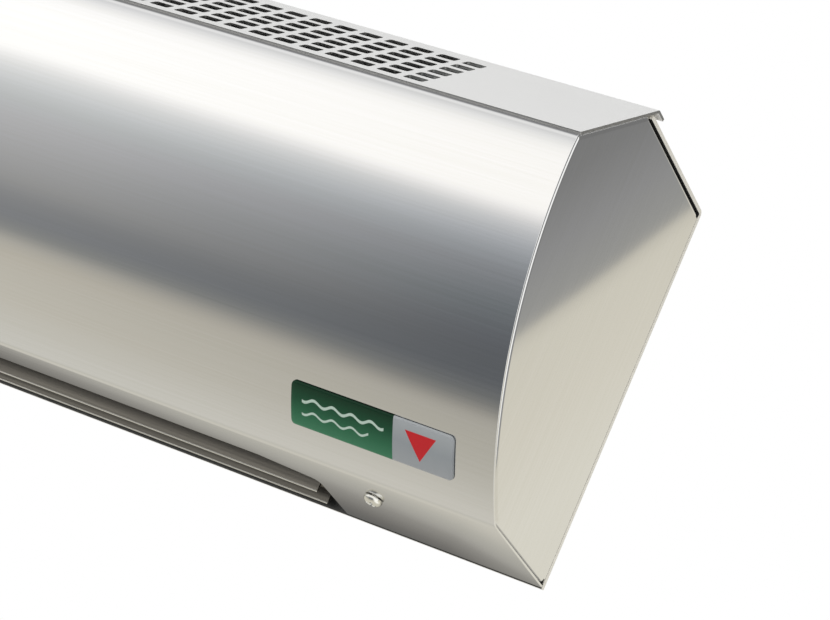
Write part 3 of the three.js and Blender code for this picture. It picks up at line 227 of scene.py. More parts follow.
def moulded_plastic(name, code, shade, rough=0.42):
    """Injection-moulded thermoplastic: even colour and a fine spark-eroded texture, 0.3 mm."""
    fine = ((2600.0,) * 3, 1.0)
    return surface(
        name, ((50.0,) * 3, 2.0), [(0.3, code), (0.7, shade)], (fine, rough - 0.04, rough + 0.06),
        (fine, 0.00002, 0.4), Roughness=rough, IOR=1.5)


def moulded_rubber(name):
    """Black moulded rubber: matt, with a bloom of pale dust in patches 5 mm wide."""
    bloom = ((220.0,) * 3, 5.0, 0.65)
    return surface(
        name, bloom, [(0.35, "#1b1b1b"), (0.8, "#333332")], bump=(bloom, 0.00003, 0.6),
        Roughness=0.75, IOR=1.5)


def printed_foil(name):
    """Printed polyester foil under a clear dome: green with a silver end, and plain marks for air:
    two white waves on the green and a red block on the silver. The UV map runs in millimetres."""
    material, tree, shader = start_material(
        name, Roughness=0.25, Specular_IOR_Level=0.15, IOR=1.5)
    where = add(tree, "UVMap", uv_map="badge").outputs["UV"]
    parts = add(tree, "SeparateXYZ", {"Vector": where})
    along, up = parts.outputs["X"], parts.outputs["Y"]
    green = ramp(tree, spread(tree, up, 0.0, 1.0, -9.5, 9.5), [
        (0.0, "#3f7a5a"), (0.3, "#2c6748"), (0.65, "#174a31"), (1.0, "#0e2f1d")])
    silver = ramp(tree, spread(tree, up, 0.0, 1.0, -9.5, 9.5), [
        (0.0, "#9ea1a3"), (0.5, "#94999c"), (1.0, "#a6aaac")])
    split = spread(tree, along, 0.0, 1.0, 48.2, 48.4)
    body = add(tree, "Mix", {"Factor": split, 6: green, 7: silver}, data_type="RGBA").outputs[2]
    for low, high, middle, half in ((5.5, 44.0, 2.9, 0.62), (5.5, 37.0, -2.6, 0.5)):
        sway = add(tree, "Math", {
            0: add(tree, "Math", {0: along, 1: 0.7}, operation="MULTIPLY").outputs[0],
        }, operation="SINE").outputs[0]
        line = add(tree, "Math", {0: sway, 1: 0.9, 2: middle}, operation="MULTIPLY_ADD").outputs[0]
        off = add(tree, "Math", {
            0: add(tree, "Math", {0: up, 1: line}, operation="SUBTRACT").outputs[0],
        }, operation="ABSOLUTE").outputs[0]
        near = spread(tree, off, 1.0, 0.0, half - 0.12, half + 0.12)
        inside = add(tree, "Math", {
            0: spread(tree, along, 0.0, 1.0, low, low + 0.25),
            1: spread(tree, along, 1.0, 0.0, high, high + 0.25),
        }, operation="MULTIPLY").outputs[0]
        mark = add(tree, "Math", {0: near, 1: inside}, operation="MULTIPLY").outputs[0]
        body = add(tree, "Mix", {
            "Factor": mark, 6: body, 7: srgb("#b9cdc0")}, data_type="RGBA").outputs[2]
    # A red arrow head that points down, as the air goes.
    from_middle = add(tree, "Math", {
        0: add(tree, "Math", {0: along, 1: 61.0}, operation="SUBTRACT").outputs[0],
    }, operation="ABSOLUTE").outputs[0]
    slope = add(tree, "Math", {0: from_middle, 1: 1.6, 2: -5.8}, operation="MULTIPLY_ADD").outputs[0]
    inside = add(tree, "Math", {
        0: spread(tree, add(tree, "Math", {0: up, 1: slope}, operation="SUBTRACT").outputs[0],
                  0.0, 1.0, -0.1, 0.1),
        1: spread(tree, up, 1.0, 0.0, 5.6, 5.8),
    }, operation="MULTIPLY").outputs[0]
    body = add(tree, "Mix", {
        "Factor": inside, 6: body, 7: srgb("#c2262c")}, data_type="RGBA").outputs[2]
    wire(tree, shader, Base_Color=body, Roughness=spread(tree, split, 0.28, 0.2, 0.0, 1.0))
    return material


LONG_BRUSH = (7.0, 1200.0, 1200.0)
UP_BRUSH = (1200.0, 1200.0, 7.0)
stainless_cover = rolled_stainless("ground_stainless_cover", LONG_BRUSH, (0.07, 0.11))
stainless_cap = rolled_stainless("ground_stainless_cap", UP_BRUSH, (0.045, 0.07))
white_coat = powder_coat("light_grey_powder_coat", "#e8e8e7", "#eaeae9", "#e5e5e4")
cream_coat = powder_coat("pale_powder_coat", "#e3dfd4", "#e5e1d6", "#dfdbd0")
# Coil-coated sheet has a thin primer on its inner face; here it is made near black as painted shade, for the
# gap beside the hood and the inside of the outlet.
painted_shade_backing = powder_coat("dark_primer_painted_shade", "#2b2b2a", "#2e2e2d", "#272726")
galvanised = galvanised_steel("galvanised_sheet")
zinc_plated = turned_metal("bright_zinc_plate", "#cfcec8", "#dad9d4", 0.22, (400.0, 400.0, 400.0))
ground_shaft = turned_metal("ground_shaft_steel", "#b9b9b7", "#c9c9c7", 0.18, (900.0, 60.0, 60.0))
# The vanes are blackened on their faces. Their lower edge is bare sheared steel, made pale as a painted
# highlight where it catches the light; the upper edge keeps the face colour.
vane_steel = turned_metal("blackened_vane_steel", "#77736c", "#807c75", 0.42, (8.0, 900.0, 900.0))
bare_edge_painted_highlight = turned_metal("sheared_edge_painted_highlight", "#d6d4cf", "#e2e0dc", 0.3, (8.0, 900.0, 900.0))
# The coated sheet was cut and punched after coating, so its cut faces are bare.
cut_edge = turned_metal("punched_steel_edge", "#b0b0ae", "#bcbbb9", 0.32, (900.0, 900.0, 900.0))
casting = blasted_casting("blasted_motor_casting")
sheath = heated_sheath("fired_heater_sheath")
black_plastic = moulded_plastic("black_moulded_nylon", "#18191a", "#202122")
red_plastic = moulded_plastic("red_moulded_abs", "#9c1f18", "#a8241c", 0.3)
white_plastic = moulded_plastic("white_moulded_nylon", "#e4e2da", "#ebe9e2")
rubber = moulded_rubber("black_moulded_rubber")
bronze = turned_metal("sintered_bronze", "#a27a41", "#b08850", 0.4, (1500.0, 1500.0, 1500.0))
foil = printed_foil("printed_badge_foil")
insulation = moulded_plastic("grey_wire_insulation", "#6f7273", "#7a7d7e", 0.5)
SLOTS = {material.name: slot for slot, group in {
    "stainless": (stainless_cover, stainless_cap), "light_paint": (white_coat,), "cream_paint": (cream_coat,),
    "galvanised": (galvanised,), "zinc_plate": (zinc_plated, ground_shaft), "dark_steel": (vane_steel,),
    "motor_casting": (casting,), "heater_sheath": (sheath,), "black_plastic": (black_plastic,),
    "red_plastic": (red_plastic,), "white_plastic": (white_plastic,), "rubber": (rubber,),
    "bronze": (bronze,), "printed_label": (foil,), "grey_insulation": (insulation,),
}.items() for material in group}


# ---- Meshes -------------------------------------------------------------------------------------
def quads(rows, columns, round_rows=False, round_columns=False):
    """Corner numbers of the quads of a grid whose points run row by row."""
    r = np.arange(rows if round_rows else rows - 1)[:, None]
    c = np.arange(columns if round_columns else columns - 1)[None, :]
    r2, c2 = (r + 1) % rows, (c + 1) % columns
    corners = [r * columns + c, r * columns + c2, r2 * columns + c2, r2 * columns + c]
    return np.stack(np.broadcast_arrays(*corners), axis=-1).reshape(-1, 4).tolist()


def merge(mesh, distance, flatten=False):
    """Merges doubles, dissolves flat regions into whole faces if asked, and turns faces outwards."""
    work = bmesh.new()
    work.from_mesh(mesh)
    bmesh.ops.remove_doubles(work, verts=work.verts, dist=distance)
    if flatten:
        bmesh.ops.dissolve_limit(work, angle_limit=math.radians(0.6), verts=work.verts, edges=work.edges)
    bmesh.ops.recalc_face_normals(work, faces=work.faces)
    work.to_mesh(mesh)
    work.free()


def make(name, part, material, node, body="casing", bevel=0.0, sharp=32.0, uv=None):
    """One piece from (points, faces) in millimetres, in place of a CAD node: smooth up to the sharp
    angle, and its edges rounded by the bevel in millimetres."""
    points, faces = part
    mesh = bpy.data.meshes.new(name)
    mesh.from_pydata((np.asarray(points, float) * MM).tolist(), [], faces)
    if uv is not None:
        layer = mesh.uv_layers.new(name="badge")
        corners = np.empty(len(mesh.loops), dtype=np.int32)
        mesh.loops.foreach_get("vertex_index", corners)
        layer.data.foreach_set("uv", np.asarray(uv, float)[corners].ravel())
    merge(mesh, 2e-7)
    return finish_piece(name, mesh, material, node, body, bevel, sharp)


def show(name, data):
    """A new object of the data, linked to the scene."""
    thing = bpy.data.objects.new(name, data)
    bpy.context.scene.collection.objects.link(thing)
    return thing


def finish_piece(name, mesh, material, node, body, bevel, sharp):
    """Shading, edge rounding, material and place in the assembly."""
    mesh.shade_smooth()
    mesh.set_sharp_from_angle(angle=math.radians(sharp))
    piece = show(name, mesh)
    mesh.materials.append(material)
    if bevel:
        rounding = piece.modifiers.new("edges", "BEVEL")
        rounding.width, rounding.segments = bevel * MM, 2
        rounding.limit_method, rounding.angle_limit = "ANGLE", math.radians(sharp)
        rounding.use_clamp_overlap = False
        rounding.harden_normals = True
    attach(piece, body)
    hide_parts(node)
    return piece


def second_finish(piece, material, test):
    """Gives the faces whose middle (x, y, z, in millimetres) passes the test another material."""
    mesh = piece.data
    mesh.materials.append(material)
    middles = np.empty(len(mesh.polygons) * 3)
    mesh.polygons.foreach_get("center", middles)
    x, y, z = (middles.reshape(-1, 3) / MM).T
    mesh.polygons.foreach_set("material_index", test(x, y, z).astype(np.int32))


def dress(node, material, body, bevel=0.2, sharp=32.0):
    """A finer copy of a CAD node: its loose triangles merged, flat regions dissolved into whole
    faces, and its edges rounded."""
    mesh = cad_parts[node].data.copy()
    mesh.materials.clear()
    merge(mesh, 2e-6, flatten=True)
    return finish_piece(node + "_finish", mesh, material, node, body, bevel, sharp)


def unit(v):
    return v / np.linalg.norm(v, axis=-1, keepdims=True)


def offset_path(path, distance):
    """An open path moved to the left of its run by the distance, with mitred corners."""
    path = np.asarray(path, float)
    run = unit(np.diff(path, axis=0))
    into, out = np.vstack([run[:1], run]), np.vstack([run, run[-1:]])
    mitre = unit(into + out)
    left = np.stack([-mitre[:, 1], mitre[:, 0]], axis=1)
    return path + left * (distance / np.sum(mitre * out, axis=1))[:, None]


def offset_ring(ring, distance):
    """A closed ring moved to the left of its run by the distance, with mitred corners."""
    return offset_path(np.vstack([ring[-1:], ring, ring[:1]]), distance)[1:-1]


def rounded_path(corners, radius, steps=6):
    """A path through corners, each inner corner replaced by an arc of the radius (or radii)."""
    corners = np.asarray(corners, float)
    radii = np.broadcast_to(radius, len(corners))
    points = [corners[0]]
    for before, corner, after, r in zip(corners[:-2], corners[1:-1], corners[2:], radii[1:-1]):
        a, b = unit(before - corner), unit(after - corner)
        half = math.acos(float(np.clip(a @ b, -1, 1))) / 2
        if r <= 0 or abs(half - math.pi / 2) < 1e-4:
            points.append(corner)
            continue
        centre = corner + unit(a + b) * r / math.sin(half)
        start, end = corner + a * r / math.tan(half) - centre, corner + b * r / math.tan(half) - centre
        turn = math.atan2(start[0] * end[1] - start[1] * end[0], start @ end)
        angle = np.linspace(0, turn, steps + 1)
        points.extend(np.stack([
            centre[0] + start[0] * np.cos(angle) - start[1] * np.sin(angle),
            centre[1] + start[0] * np.sin(angle) + start[1] * np.cos(angle)], axis=1))
    points.append(corners[-1])
    return np.array(points)


def arc(centre, radius, start, end, steps):
    """Points on an arc, by angle from +Y towards +Z, in degrees."""
    angle = np.radians(np.linspace(start, end, steps + 1))
    return np.stack([centre[0] + radius * np.cos(angle), centre[1] + radius * np.sin(angle)], axis=1)


def carried(path, stations):
    """A path in (y, z) at each station along X, as rows of points."""
    return np.stack([np.column_stack([np.full(len(path), x), path]) for x in stations])


def bent_sheet(rows, rows_in, free):
    """A bent sheet from the rows of its two faces, closed at both ends and along the free column."""
    k, n = rows.shape[:2]
    faces = quads(k, n) + (np.array(quads(k, n))[:, ::-1] + k * n).tolist()
    for row in (0, k - 1):
        i = row * n + np.arange(n - 1)
        faces += np.stack([i, i + 1, i + 1 + k * n, i + k * n], axis=1).tolist()
    j = np.arange(k - 1) * n + free
    faces += np.stack([j, j + n, j + n + k * n, j + k * n], axis=1).tolist()
    return np.vstack([rows.reshape(-1, 3), rows_in.reshape(-1, 3)]), faces


def carried_on(level):
    """The test for outline edges at this level, from which the rest of the sheet carries on."""
    return lambda a, b: abs(a[1] - level) < 1e-6 and abs(b[1] - level) < 1e-6


def extrude_sheet(path, thickness, xs):
    """A bent sheet: a path in (y, z), its copy one thickness to the left, at stations along X,
    with both ends closed by strips between the two paths."""
    outer, inner = np.asarray(path, float), offset_path(path, thickness)
    ring = np.vstack([outer, inner[::-1]])
    n, count = len(ring), len(outer)
    points = carried(ring, xs).reshape(-1, 3)
    faces = quads(len(xs), n, round_columns=True)
    for base in (0, (len(xs) - 1) * n):
        i = np.arange(count - 1)
        faces += np.stack([base + i, base + i + 1, base + n - 2 - i, base + n - 1 - i], axis=1).tolist()
    return points, faces


def turned(profile, axis_place, along="x", sides=64):
    """A turned piece: a closed or axis-to-axis profile of (radius, distance) round an axis that
    runs along X or Y."""
    profile = np.asarray(profile, float)
    angle = np.linspace(0, 2 * np.pi, sides, endpoint=False)
    r, d = profile[:, 0][:, None], profile[:, 1][:, None]
    a, b = r * np.cos(angle), r * np.sin(angle)
    d = np.broadcast_to(d, a.shape)
    if along == "x":
        grid = np.stack([d, axis_place[0] + a, axis_place[1] + b], axis=-1)
    else:
        grid = np.stack([axis_place[0] + a, d, axis_place[1] + b], axis=-1)
    closed = np.allclose(profile[0], profile[-1])
    rows = len(profile) - 1 if closed else len(profile)
    points = grid[:rows].reshape(-1, 3)
    return points, quads(rows, sides, round_rows=closed, round_columns=True)


def rectangle(x0, y0, x1, y1, radius=0.0, steps=4):
    """A closed rectangle, counter-clockwise, with rounded corners."""
    if radius <= 0:
        return np.array([[x0, y0], [x1, y0], [x1, y1], [x0, y1]], float)
    centres = [(x0 + radius, y0 + radius, 180), (x1 - radius, y0 + radius, 270),
               (x1 - radius, y1 - radius, 0), (x0 + radius, y1 - radius, 90)]
    return np.vstack([arc((cx, cy), radius, s, s + 90, steps) for cx, cy, s in centres])


def circle(x, y, radius, sides=32):
    return arc((x, y), radius, 0, 360, sides)[:-1]


def inside(points, loop):
    """Which points lie inside a closed loop, by counting crossings."""
    x, y = points[:, 0][:, None], points[:, 1][:, None]
    a, b = loop, np.roll(loop, -1, axis=0)
    over = (a[:, 1] > y) != (b[:, 1] > y)
    with np.errstate(divide="ignore", invalid="ignore"):
        cross = (b[:, 0] - a[:, 0]) * (y - a[:, 1]) / (b[:, 1] - a[:, 1]) + a[:, 0]
    return (np.sum(over & (x < cross), axis=1) % 2).astype(bool)


def punched(outline, holes, lift, open_edges=None):
    """A flat sheet with holes, filled by a constrained Delaunay triangulation. lift(points, side)
    sets the flat points in space for side 0 and side 1; open_edges(a, b) is true for outline edges
    that another part of the same sheet carries on from."""
    loops = [np.asarray(outline, float)] + [np.asarray(h, float) for h in holes]
    flat = np.vstack(loops)
    edges, start = [], 0
    for loop in loops:
        i = np.arange(len(loop))
        edges += np.column_stack([start + i, start + (i + 1) % len(loop)]).tolist()
        start += len(loop)
    verts, _, tris, *_ = delaunay_2d_cdt([Vector(p) for p in flat], edges, [], 1, 1e-6)
    corners = np.array([v[:] for v in verts])
    tris = np.array([t for t in tris if len(t) == 3])
    middles = corners[tris].mean(axis=1)
    keep = inside(middles, loops[0])
    for hole in loops[1:]:
        keep &= ~inside(middles, hole)
    tris = tris[keep]
    n, m = len(corners), len(flat)
    points = np.vstack([lift(corners, 0), lift(corners, 1), lift(flat, 0), lift(flat, 1)])
    faces = tris.tolist() + (tris[:, ::-1] + n).tolist()
    for a, b in edges:
        if open_edges is None or not open_edges(flat[a], flat[b]):
            faces.append([2 * n + a, 2 * n + b, 2 * n + m + b, 2 * n + m + a])
    return points, faces


def gather(*parts):
    """Several (points, faces) as one."""
    points, faces, start = [], [], 0
    for p, f in parts:
        points.append(np.asarray(p, float))
        faces += [[i + start for i in face] for face in f]
        start += len(p)
    return np.vstack(points), faces


def mirror_x(part):
    points, faces = part
    return points * np.array([-1.0, 1.0, 1.0]), [f[::-1] for f in faces]


def fit(part, matrix):
    points, faces = part
    m = np.array(matrix)
    return points @ m[:3, :3].T + m[:3, 3], faces


def underside_z(from_wall, inset=0.0):
    return BASE + from_wall * math.tan(TILT) + inset / math.cos(TILT)


def hood_z(from_wall, inset=0.0):
    return REAR_TOP + from_wall * math.tan(HOOD) - inset / math.cos(HOOD)


def intake_z(from_wall, inset=0.0):
    return FRONT_CORNER + (DEPTH - from_wall) * math.tan(INTAKE) - inset / math.cos(INTAKE)


def find_bend():
    """Centre of the bend, which touches the underside's line and the long curve from inside."""
    start = np.array([BEND_R * math.sin(TILT), BASE + BEND_R * math.cos(TILT)])
    way = np.array([-math.cos(TILT), math.sin(TILT)])
    run = start - CURVE_C
    half = run @ way
    far = -half + math.sqrt(half ** 2 - (run @ run - (CURVE_R - BEND_R) ** 2))
    centre = start + way * far
    return centre, math.degrees(math.atan2(CURVE_C[1] - centre[1], CURVE_C[0] - centre[0]))


BEND_C, BEND_ANGLE = find_bend()


def front_path(inset, top, curve_steps=80, bend_steps=14):
    """The front's section from the top down to the end of the bend: a short arc of 60 mm radius
    that rolls back under the grille, the long arc, then the bend."""
    roll = 60.0 - inset
    centre = np.array([60.0 - DEPTH, CURVE_TOP])
    over = math.degrees(math.asin((top - CURVE_TOP) / roll))
    rolled = arc(centre, roll, 180 - over, 180, 8)
    long_curve = arc(CURVE_C, CURVE_R - inset, 180, 180 + BEND_ANGLE, curve_steps)
    bend = arc(BEND_C, BEND_R - inset, 180 + BEND_ANGLE, 270 - math.degrees(TILT), bend_steps)
    return np.vstack([rolled, long_curve[1:], bend[1:]])


# ---- Casing -------------------------------------------------------------------------------------
RETURN_FACE = CHASSIS + COVER_LINE
CREST = 0.45
GRILLE_START = 1.6
REAR_EDGE = BACK + 0.6
SCREW_X, SCREW_Y = 235.6, 37.4
SWITCH_X, SWITCH_Y = (-255.0, -275.0), 31.0
OUTLET_FRONT, OUTLET_MARGIN = 37.3, 4.5
MOUNT_X = (-262.0, 262.0)
CABLE_SPOT = (-262.0, BASE + 78.0)
CLEAR = 2.35
FLANGE_SCREWS = (("end_cap_screw_right", 292.8), ("end_cap_screw_left", -292.8),
                 ("bulkhead_screw_right", 218.2), ("bulkhead_screw_left", -233.2))
SCREW_LEVELS = (("lower", BASE + 38.0), ("upper", BASE + 119.0))


def outlet_loop():
    """The outlet's edge in (x, y), from its rear left end round to its rear right end."""
    right, left, corner = BULK_R - OUTLET_MARGIN, BULK_L + OUTLET_MARGIN, OUTLET_MARGIN - OUTLET_FRONT
    half = [(right - 28.0, -OUTLET_FRONT), (right - 4.0, corner - 0.6)]
    bow = np.linspace(0, 1, 9)[1:]
    p0, p1, p2 = np.array([(right - 4.0, corner - 0.6), (right, corner), (right, corner + 4.0)])
    curve = [(1 - t) ** 2 * p0 + 2 * t * (1 - t) * p1 + t ** 2 * p2 for t in bow]
    right_side = np.vstack([half, curve, [(right, -REAR_EDGE)]])
    left_side = right_side.copy()
    left_side[:, 0] = left + right - left_side[:, 0]
    return np.vstack([left_side[::-1], right_side])


def cover_parts():
    """The front cover: the curved stretch is a grid of section points by stations along X, and the
    flat underside a punched sheet that carries on from it at the same stations."""
    bend_end = BEND_C + BEND_R * np.array([-math.sin(TILT), -math.cos(TILT)])
    across = np.array([math.cos(TILT), -math.sin(TILT)])
    normal = np.array([math.sin(TILT), math.cos(TILT)])
    stop = HALF - 13.9
    plain = np.concatenate([[-HALF], np.linspace(-stop, stop, 39), [HALF]])
    stations = np.concatenate([[-HALF, -stop], plain[1:-1], [stop, HALF]])

    section = front_path(0.0, intake_z(DEPTH, CREST) - 1.4)
    end, low = DEPTH - COVER_RETURN * math.cos(INTAKE), DEPTH - 3.2
    crest = np.array([section[0][0] + 0.04, intake_z(-section[0][0], CREST)])
    turned_in = [[-end, intake_z(end, RETURN_FACE)], [-low, intake_z(low, RETURN_FACE)]]
    folds = np.vstack([turned_in, crest, section])
    folds_in = offset_path(folds, COVER)
    outer = np.vstack([rounded_path(folds[:4], (0, 0.5, 1.3, 0))[:-1], section])
    inner = np.vstack([rounded_path(folds_in[:4], (0, 0.2, 0.5, 0))[:-1], folds_in[3:]])
    rows, rows_in = carried(outer, stations), carried(inner, stations)
    # The top edge's return stops short of both ends: there it ends 0.4 mm after the fold.
    stub = 0.05 * np.arange(8, 0, -1)[:, None]
    for row in (0, 1, -2, -1):
        rows[row, :8, 1:] = outer[8] + stub * unit(outer[7] - outer[8])
        rows_in[row, :8, 1:] = inner[8] + stub * unit(inner[7] - inner[8])

    def lift(flat, side):
        """(x, y) on the underside's outer face, and one sheet above it on side 1."""
        run = (flat[:, 1] - bend_end[0]) / across[0]
        place_yz = bend_end + run[:, None] * across + side * COVER * normal
        return np.column_stack([flat[:, 0], place_yz])

    front_edge = np.column_stack([plain, np.full(len(plain), bend_end[0])])
    rear = np.vstack([[(HALF, -REAR_EDGE)], outlet_loop()[::-1], [(-HALF, -REAR_EDGE)]])
    outline = np.vstack([front_edge, rear])
    holes = [circle(x, -SCREW_Y, CLEAR, 24) for x in (SCREW_X, -SCREW_X)]
    holes += [rectangle(x - 6.5, -SWITCH_Y - 9.6, x + 6.5, -SWITCH_Y + 9.6) for x in SWITCH_X]

    return gather(bent_sheet(rows, rows_in, 0), punched(outline, holes, lift, carried_on(bend_end[0])))


make("front_cover_sheet", cover_parts(), stainless_cover, "front_cover", bevel=0.2, sharp=40)


def grille_parts():
    """The intake grille: a sloping punched sheet, cut square along its front edge, whose rear lip
    turns down over the ridge on a 1.5 mm radius. The bend and the lip are a grid along X."""
    corner, ridge = np.array([-DEPTH, FRONT_CORNER]), np.array([-RIDGE, TOP])
    tip = ridge + 6.2 * np.array([math.cos(HOOD), -math.sin(HOOD)])
    slope = np.array([math.cos(INTAKE), math.sin(INTAKE)])
    path = rounded_path([corner, ridge, tip], 1.5, 8)[1:]
    inner = offset_path(np.vstack([corner, path]), -CHASSIS)[1:]
    stations = np.linspace(-HALF, HALF, 9)
    bent = bent_sheet(carried(path, stations), carried(inner, stations), len(path) - 1)
    high_edge = (path[0] - corner) @ slope

    def lift(flat, side):
        """(x, distance up the slope) on the face, and one sheet under it on side 1."""
        yz = corner + flat[:, 1][:, None] * slope
        yz = yz + side * CHASSIS * np.array([slope[1], -slope[0]])
        return np.column_stack([flat[:, 0], yz])

    outline = np.vstack([
        [(-HALF, GRILLE_START), (HALF, GRILLE_START)],
        np.column_stack([stations[::-1], np.full(len(stations), high_edge)])])
    bare_left, bare_right, half_length, half_width = 57.0, 74.0, 4.5, 2.6
    pitch, row_pitch, first_row = 12.4, 8.0, 8.6
    span = 2 * HALF - bare_left - bare_right - 2 * half_length
    across = HALF - bare_right - half_length - pitch * np.arange(int(span // pitch) + 1)
    holes = [rectangle(x - half_length, t - half_width, x + half_length, t + half_width, 0.9, 3)
             for x in across for t in first_row + row_pitch * np.arange(6)]

    return gather(bent, punched(outline, holes, lift, carried_on(high_edge)))


def grille_cut(x, y, z):
    """Where the grille's sheet was cut: its ends, its front and rear edges and the slots."""
    deep = (intake_z(-y) - z) * math.cos(INTAKE)
    tip = -RIDGE + 6.2 * math.cos(HOOD)
    inside_slot = (deep > 0.1) & (deep < CHASSIS - 0.1) & (y < -RIDGE - 1)
    return (np.abs(x) > HALF - 0.01) | inside_slot | (y > tip - 0.1)


grille = make("intake_grille_sheet", grille_parts(), white_coat, "intake_grille", bevel=0.1, sharp=40)
second_finish(grille, cut_edge, grille_cut)


def cap_outline():
    """The inside line of the casing at its end, less the gap that the end cap keeps to the hood.
    The cap fills the corner that the cover's return leaves free."""
    cover, intake, hood, back = COVER + 0.05, CHASSIS + 0.1, BACK + 0.2, BACK + 0.05
    ridge = (intake_z(0, intake) - hood_z(0, hood)) / (math.tan(INTAKE) + math.tan(HOOD))
    section = front_path(cover, intake_z(DEPTH - cover, intake) - 2.0, 60, 10)
    tail = rounded_path([
        section[-1], [-back, underside_z(back, cover)], [-back, hood_z(back, hood)],
        [-ridge, hood_z(ridge, hood)], [section[0][0] + 0.15, intake_z(-section[0][0], intake)], section[0]],
        (0, 2.2, 2.2, 2.2, 2.1, 0), 6)
    ring = np.vstack([section[:-1], tail[:-1]])
    keep = np.linalg.norm(ring - np.roll(ring, 1, axis=0), axis=1) > 1e-4
    return ring[keep]


def cap_parts():
    """An end cap: rings of its outline, moved in round the fold's radius, then back along the
    flange and inside again, closed by the two flat faces. At the back the fold is tighter."""
    ring = cap_outline()
    area = np.sum(ring[:, 0] * np.roll(ring[:, 1], -1) - np.roll(ring[:, 0], -1) * ring[:, 1])
    inward = 1.0 if area > 0 else -1.0
    face, fold, flange = HALF - 0.2, 1.9, 12.0
    turn = np.radians(np.linspace(0, 90, 7))
    outside = [(fold - fold * math.sin(t), fold - fold * math.cos(t)) for t in turn]
    rings = [(fold + 0.2, 0.0)] + outside
    rings += [(0.0, 3.0), (0.0, flange - 0.2), (0.2, flange), (CHASSIS - 0.2, flange),
              (CHASSIS, flange - 0.2), (CHASSIS, CHASSIS), (CHASSIS + 0.3, CHASSIS)]
    points = []
    at_back = ring[:, 0] > -BACK - 0.1
    for o, d in rings:
        moved = offset_ring(ring, inward * o)
        if d < fold:
            moved[at_back, 0] = ring[at_back, 0] - 0.1 * o
        points.append(np.column_stack([np.full(len(ring), face - d), moved]))
    n = len(ring)
    faces = quads(len(rings), n, round_columns=True)
    faces.append(list(range(n)))
    faces.append([len(rings) * n - 1 - i for i in range(n)])
    return np.vstack(points), faces


make("end_cap_right_tray", cap_parts(), stainless_cap, "end_cap_right", sharp=30)
make("end_cap_left_tray", mirror_x(cap_parts()), stainless_cap, "end_cap_left", sharp=30)


def back_parts():
    """The back plate: an upright punched sheet, a bend of 2 mm radius and the sloping hood."""
    radius = 2.2
    path = rounded_path([[0, BASE], [0, REAR_TOP], [-HOOD_FRONT, hood_z(HOOD_FRONT)]], radius, 8)
    stations = np.linspace(-HALF, HALF, 7)
    upper = path[1:]
    inner = offset_path(path, BACK)[1:]
    bent = bent_sheet(carried(upper, stations), carried(inner, stations), len(upper) - 1)
    high = upper[0][1]

    def lift(flat, side):
        return np.column_stack([flat[:, 0], np.full(len(flat), -side * BACK), flat[:, 1]])

    outline = np.vstack([
        np.column_stack([np.linspace(-HALF, HALF, 61), np.full(61, BASE)]),
        np.column_stack([stations[::-1], np.full(len(stations), high)])])
    holes = []
    key_z, lower_z, wide, narrow = BASE + 140.0, BASE + 20.0, 5.0, 2.5
    meet = math.degrees(math.acos(narrow / wide))
    for x in MOUNT_X:
        head = arc((x, key_z), wide, -180 - meet, meet, 24)
        neck = arc((x, key_z + 10.0), narrow, 0, 180, 10)
        holes.append(np.vstack([head, neck]))
        holes.append(circle(x, lower_z, narrow, 20))
    holes.append(circle(*CABLE_SPOT, 8.3, 36))
    holes += [circle(x, z, CLEAR, 18) for _, x in FLANGE_SCREWS for _, z in SCREW_LEVELS]
    return gather(bent, punched(outline, holes, lift, carried_on(high)))


def painted_shade_inside(x, y, z):
    """The back plate's inner face, which gets the painted shade; below the bend it stops short of the ends
    and the lower edge.
    """
    ends = np.where(z > REAR_TOP - 4, HALF - 0.01, HALF - 4)
    return (y < -BACK + 0.1) & (z < hood_z(-y, BACK - 0.3)) & (np.abs(x) < ends) & (z > BASE + 2)


back_plate = make("back_plate_sheet", back_parts(), cream_coat, "back_plate", bevel=0.18, sharp=40)
# The inner face's near-black primer is painted shade.
second_finish(back_plate, painted_shade_backing, painted_shade_inside)


def badge_parts():
    """The badge: rows down the front curve, each as wide as the rounded rectangle is there, domed
    0.25 mm in the middle and turned down at the edge."""
    length, height, corner, thick = 76.0, 19.0, 2.2, 0.9
    end = HALF - 17.8
    rim = np.array([0.0, 0.15, 0.45, 0.9, 1.5, 2.2])
    flat = height / 2 - 3.2
    v = np.concatenate([-height / 2 + rim, np.linspace(-flat, flat, 9), (height / 2 - rim)[::-1]])
    u = np.concatenate([[0.0, 0.004, 0.012, 0.03], np.linspace(0.06, 0.94, 24), [0.97, 0.988, 0.996, 1.0]])
    over = np.clip(np.abs(v) - (height / 2 - corner), 0, corner)
    half = length / 2 - corner + np.sqrt(corner ** 2 - over ** 2)
    x = (2 * u[None, :] - 1) * half[:, None]
    down = np.broadcast_to(v[:, None], x.shape)
    edge = np.minimum(half[:, None] - np.abs(x), height / 2 - np.abs(down))
    soft = 1 - np.clip(1 - edge / 0.7, 0, 1) ** 2
    lift = 0.3 + (thick - 0.15) * np.sqrt(np.clip(soft, 0, 1)) + 0.15 * (1 - (down / (height / 2)) ** 2)

    def on_curve(raise_by):
        """The points on the front curve, raised off it."""
        angle = (124.5 - down) / CURVE_R
        r = CURVE_R + raise_by
        y, z = CURVE_C[0] - r * np.cos(angle), CURVE_C[1] - r * np.sin(angle)
        return np.stack([end - length / 2 + x, y, z], axis=-1)

    rows, columns = x.shape
    top, bottom = on_curve(lift).reshape(-1, 3), on_curve(np.full(x.shape, 0.3)).reshape(-1, 3)
    n = rows * columns
    faces = quads(rows, columns) + (np.array(quads(rows, columns))[:, ::-1] + n).tolist()
    border = np.concatenate([
        np.arange(columns), np.arange(1, rows) * columns + columns - 1,
        (rows - 1) * columns + np.arange(columns - 2, -1, -1), np.arange(rows - 2, 0, -1) * columns])
    following = np.roll(border, -1)
    faces += np.stack([border, following, following + n, border + n], axis=1).tolist()
    marks = np.stack([x + length / 2, down], axis=-1).reshape(-1, 2)
    return (np.vstack([top, bottom]), faces), np.vstack([marks, marks])


badge_shape, badge_marks = badge_parts()
make("badge_foil", badge_shape, foil, "badge", sharp=50, uv=badge_marks)


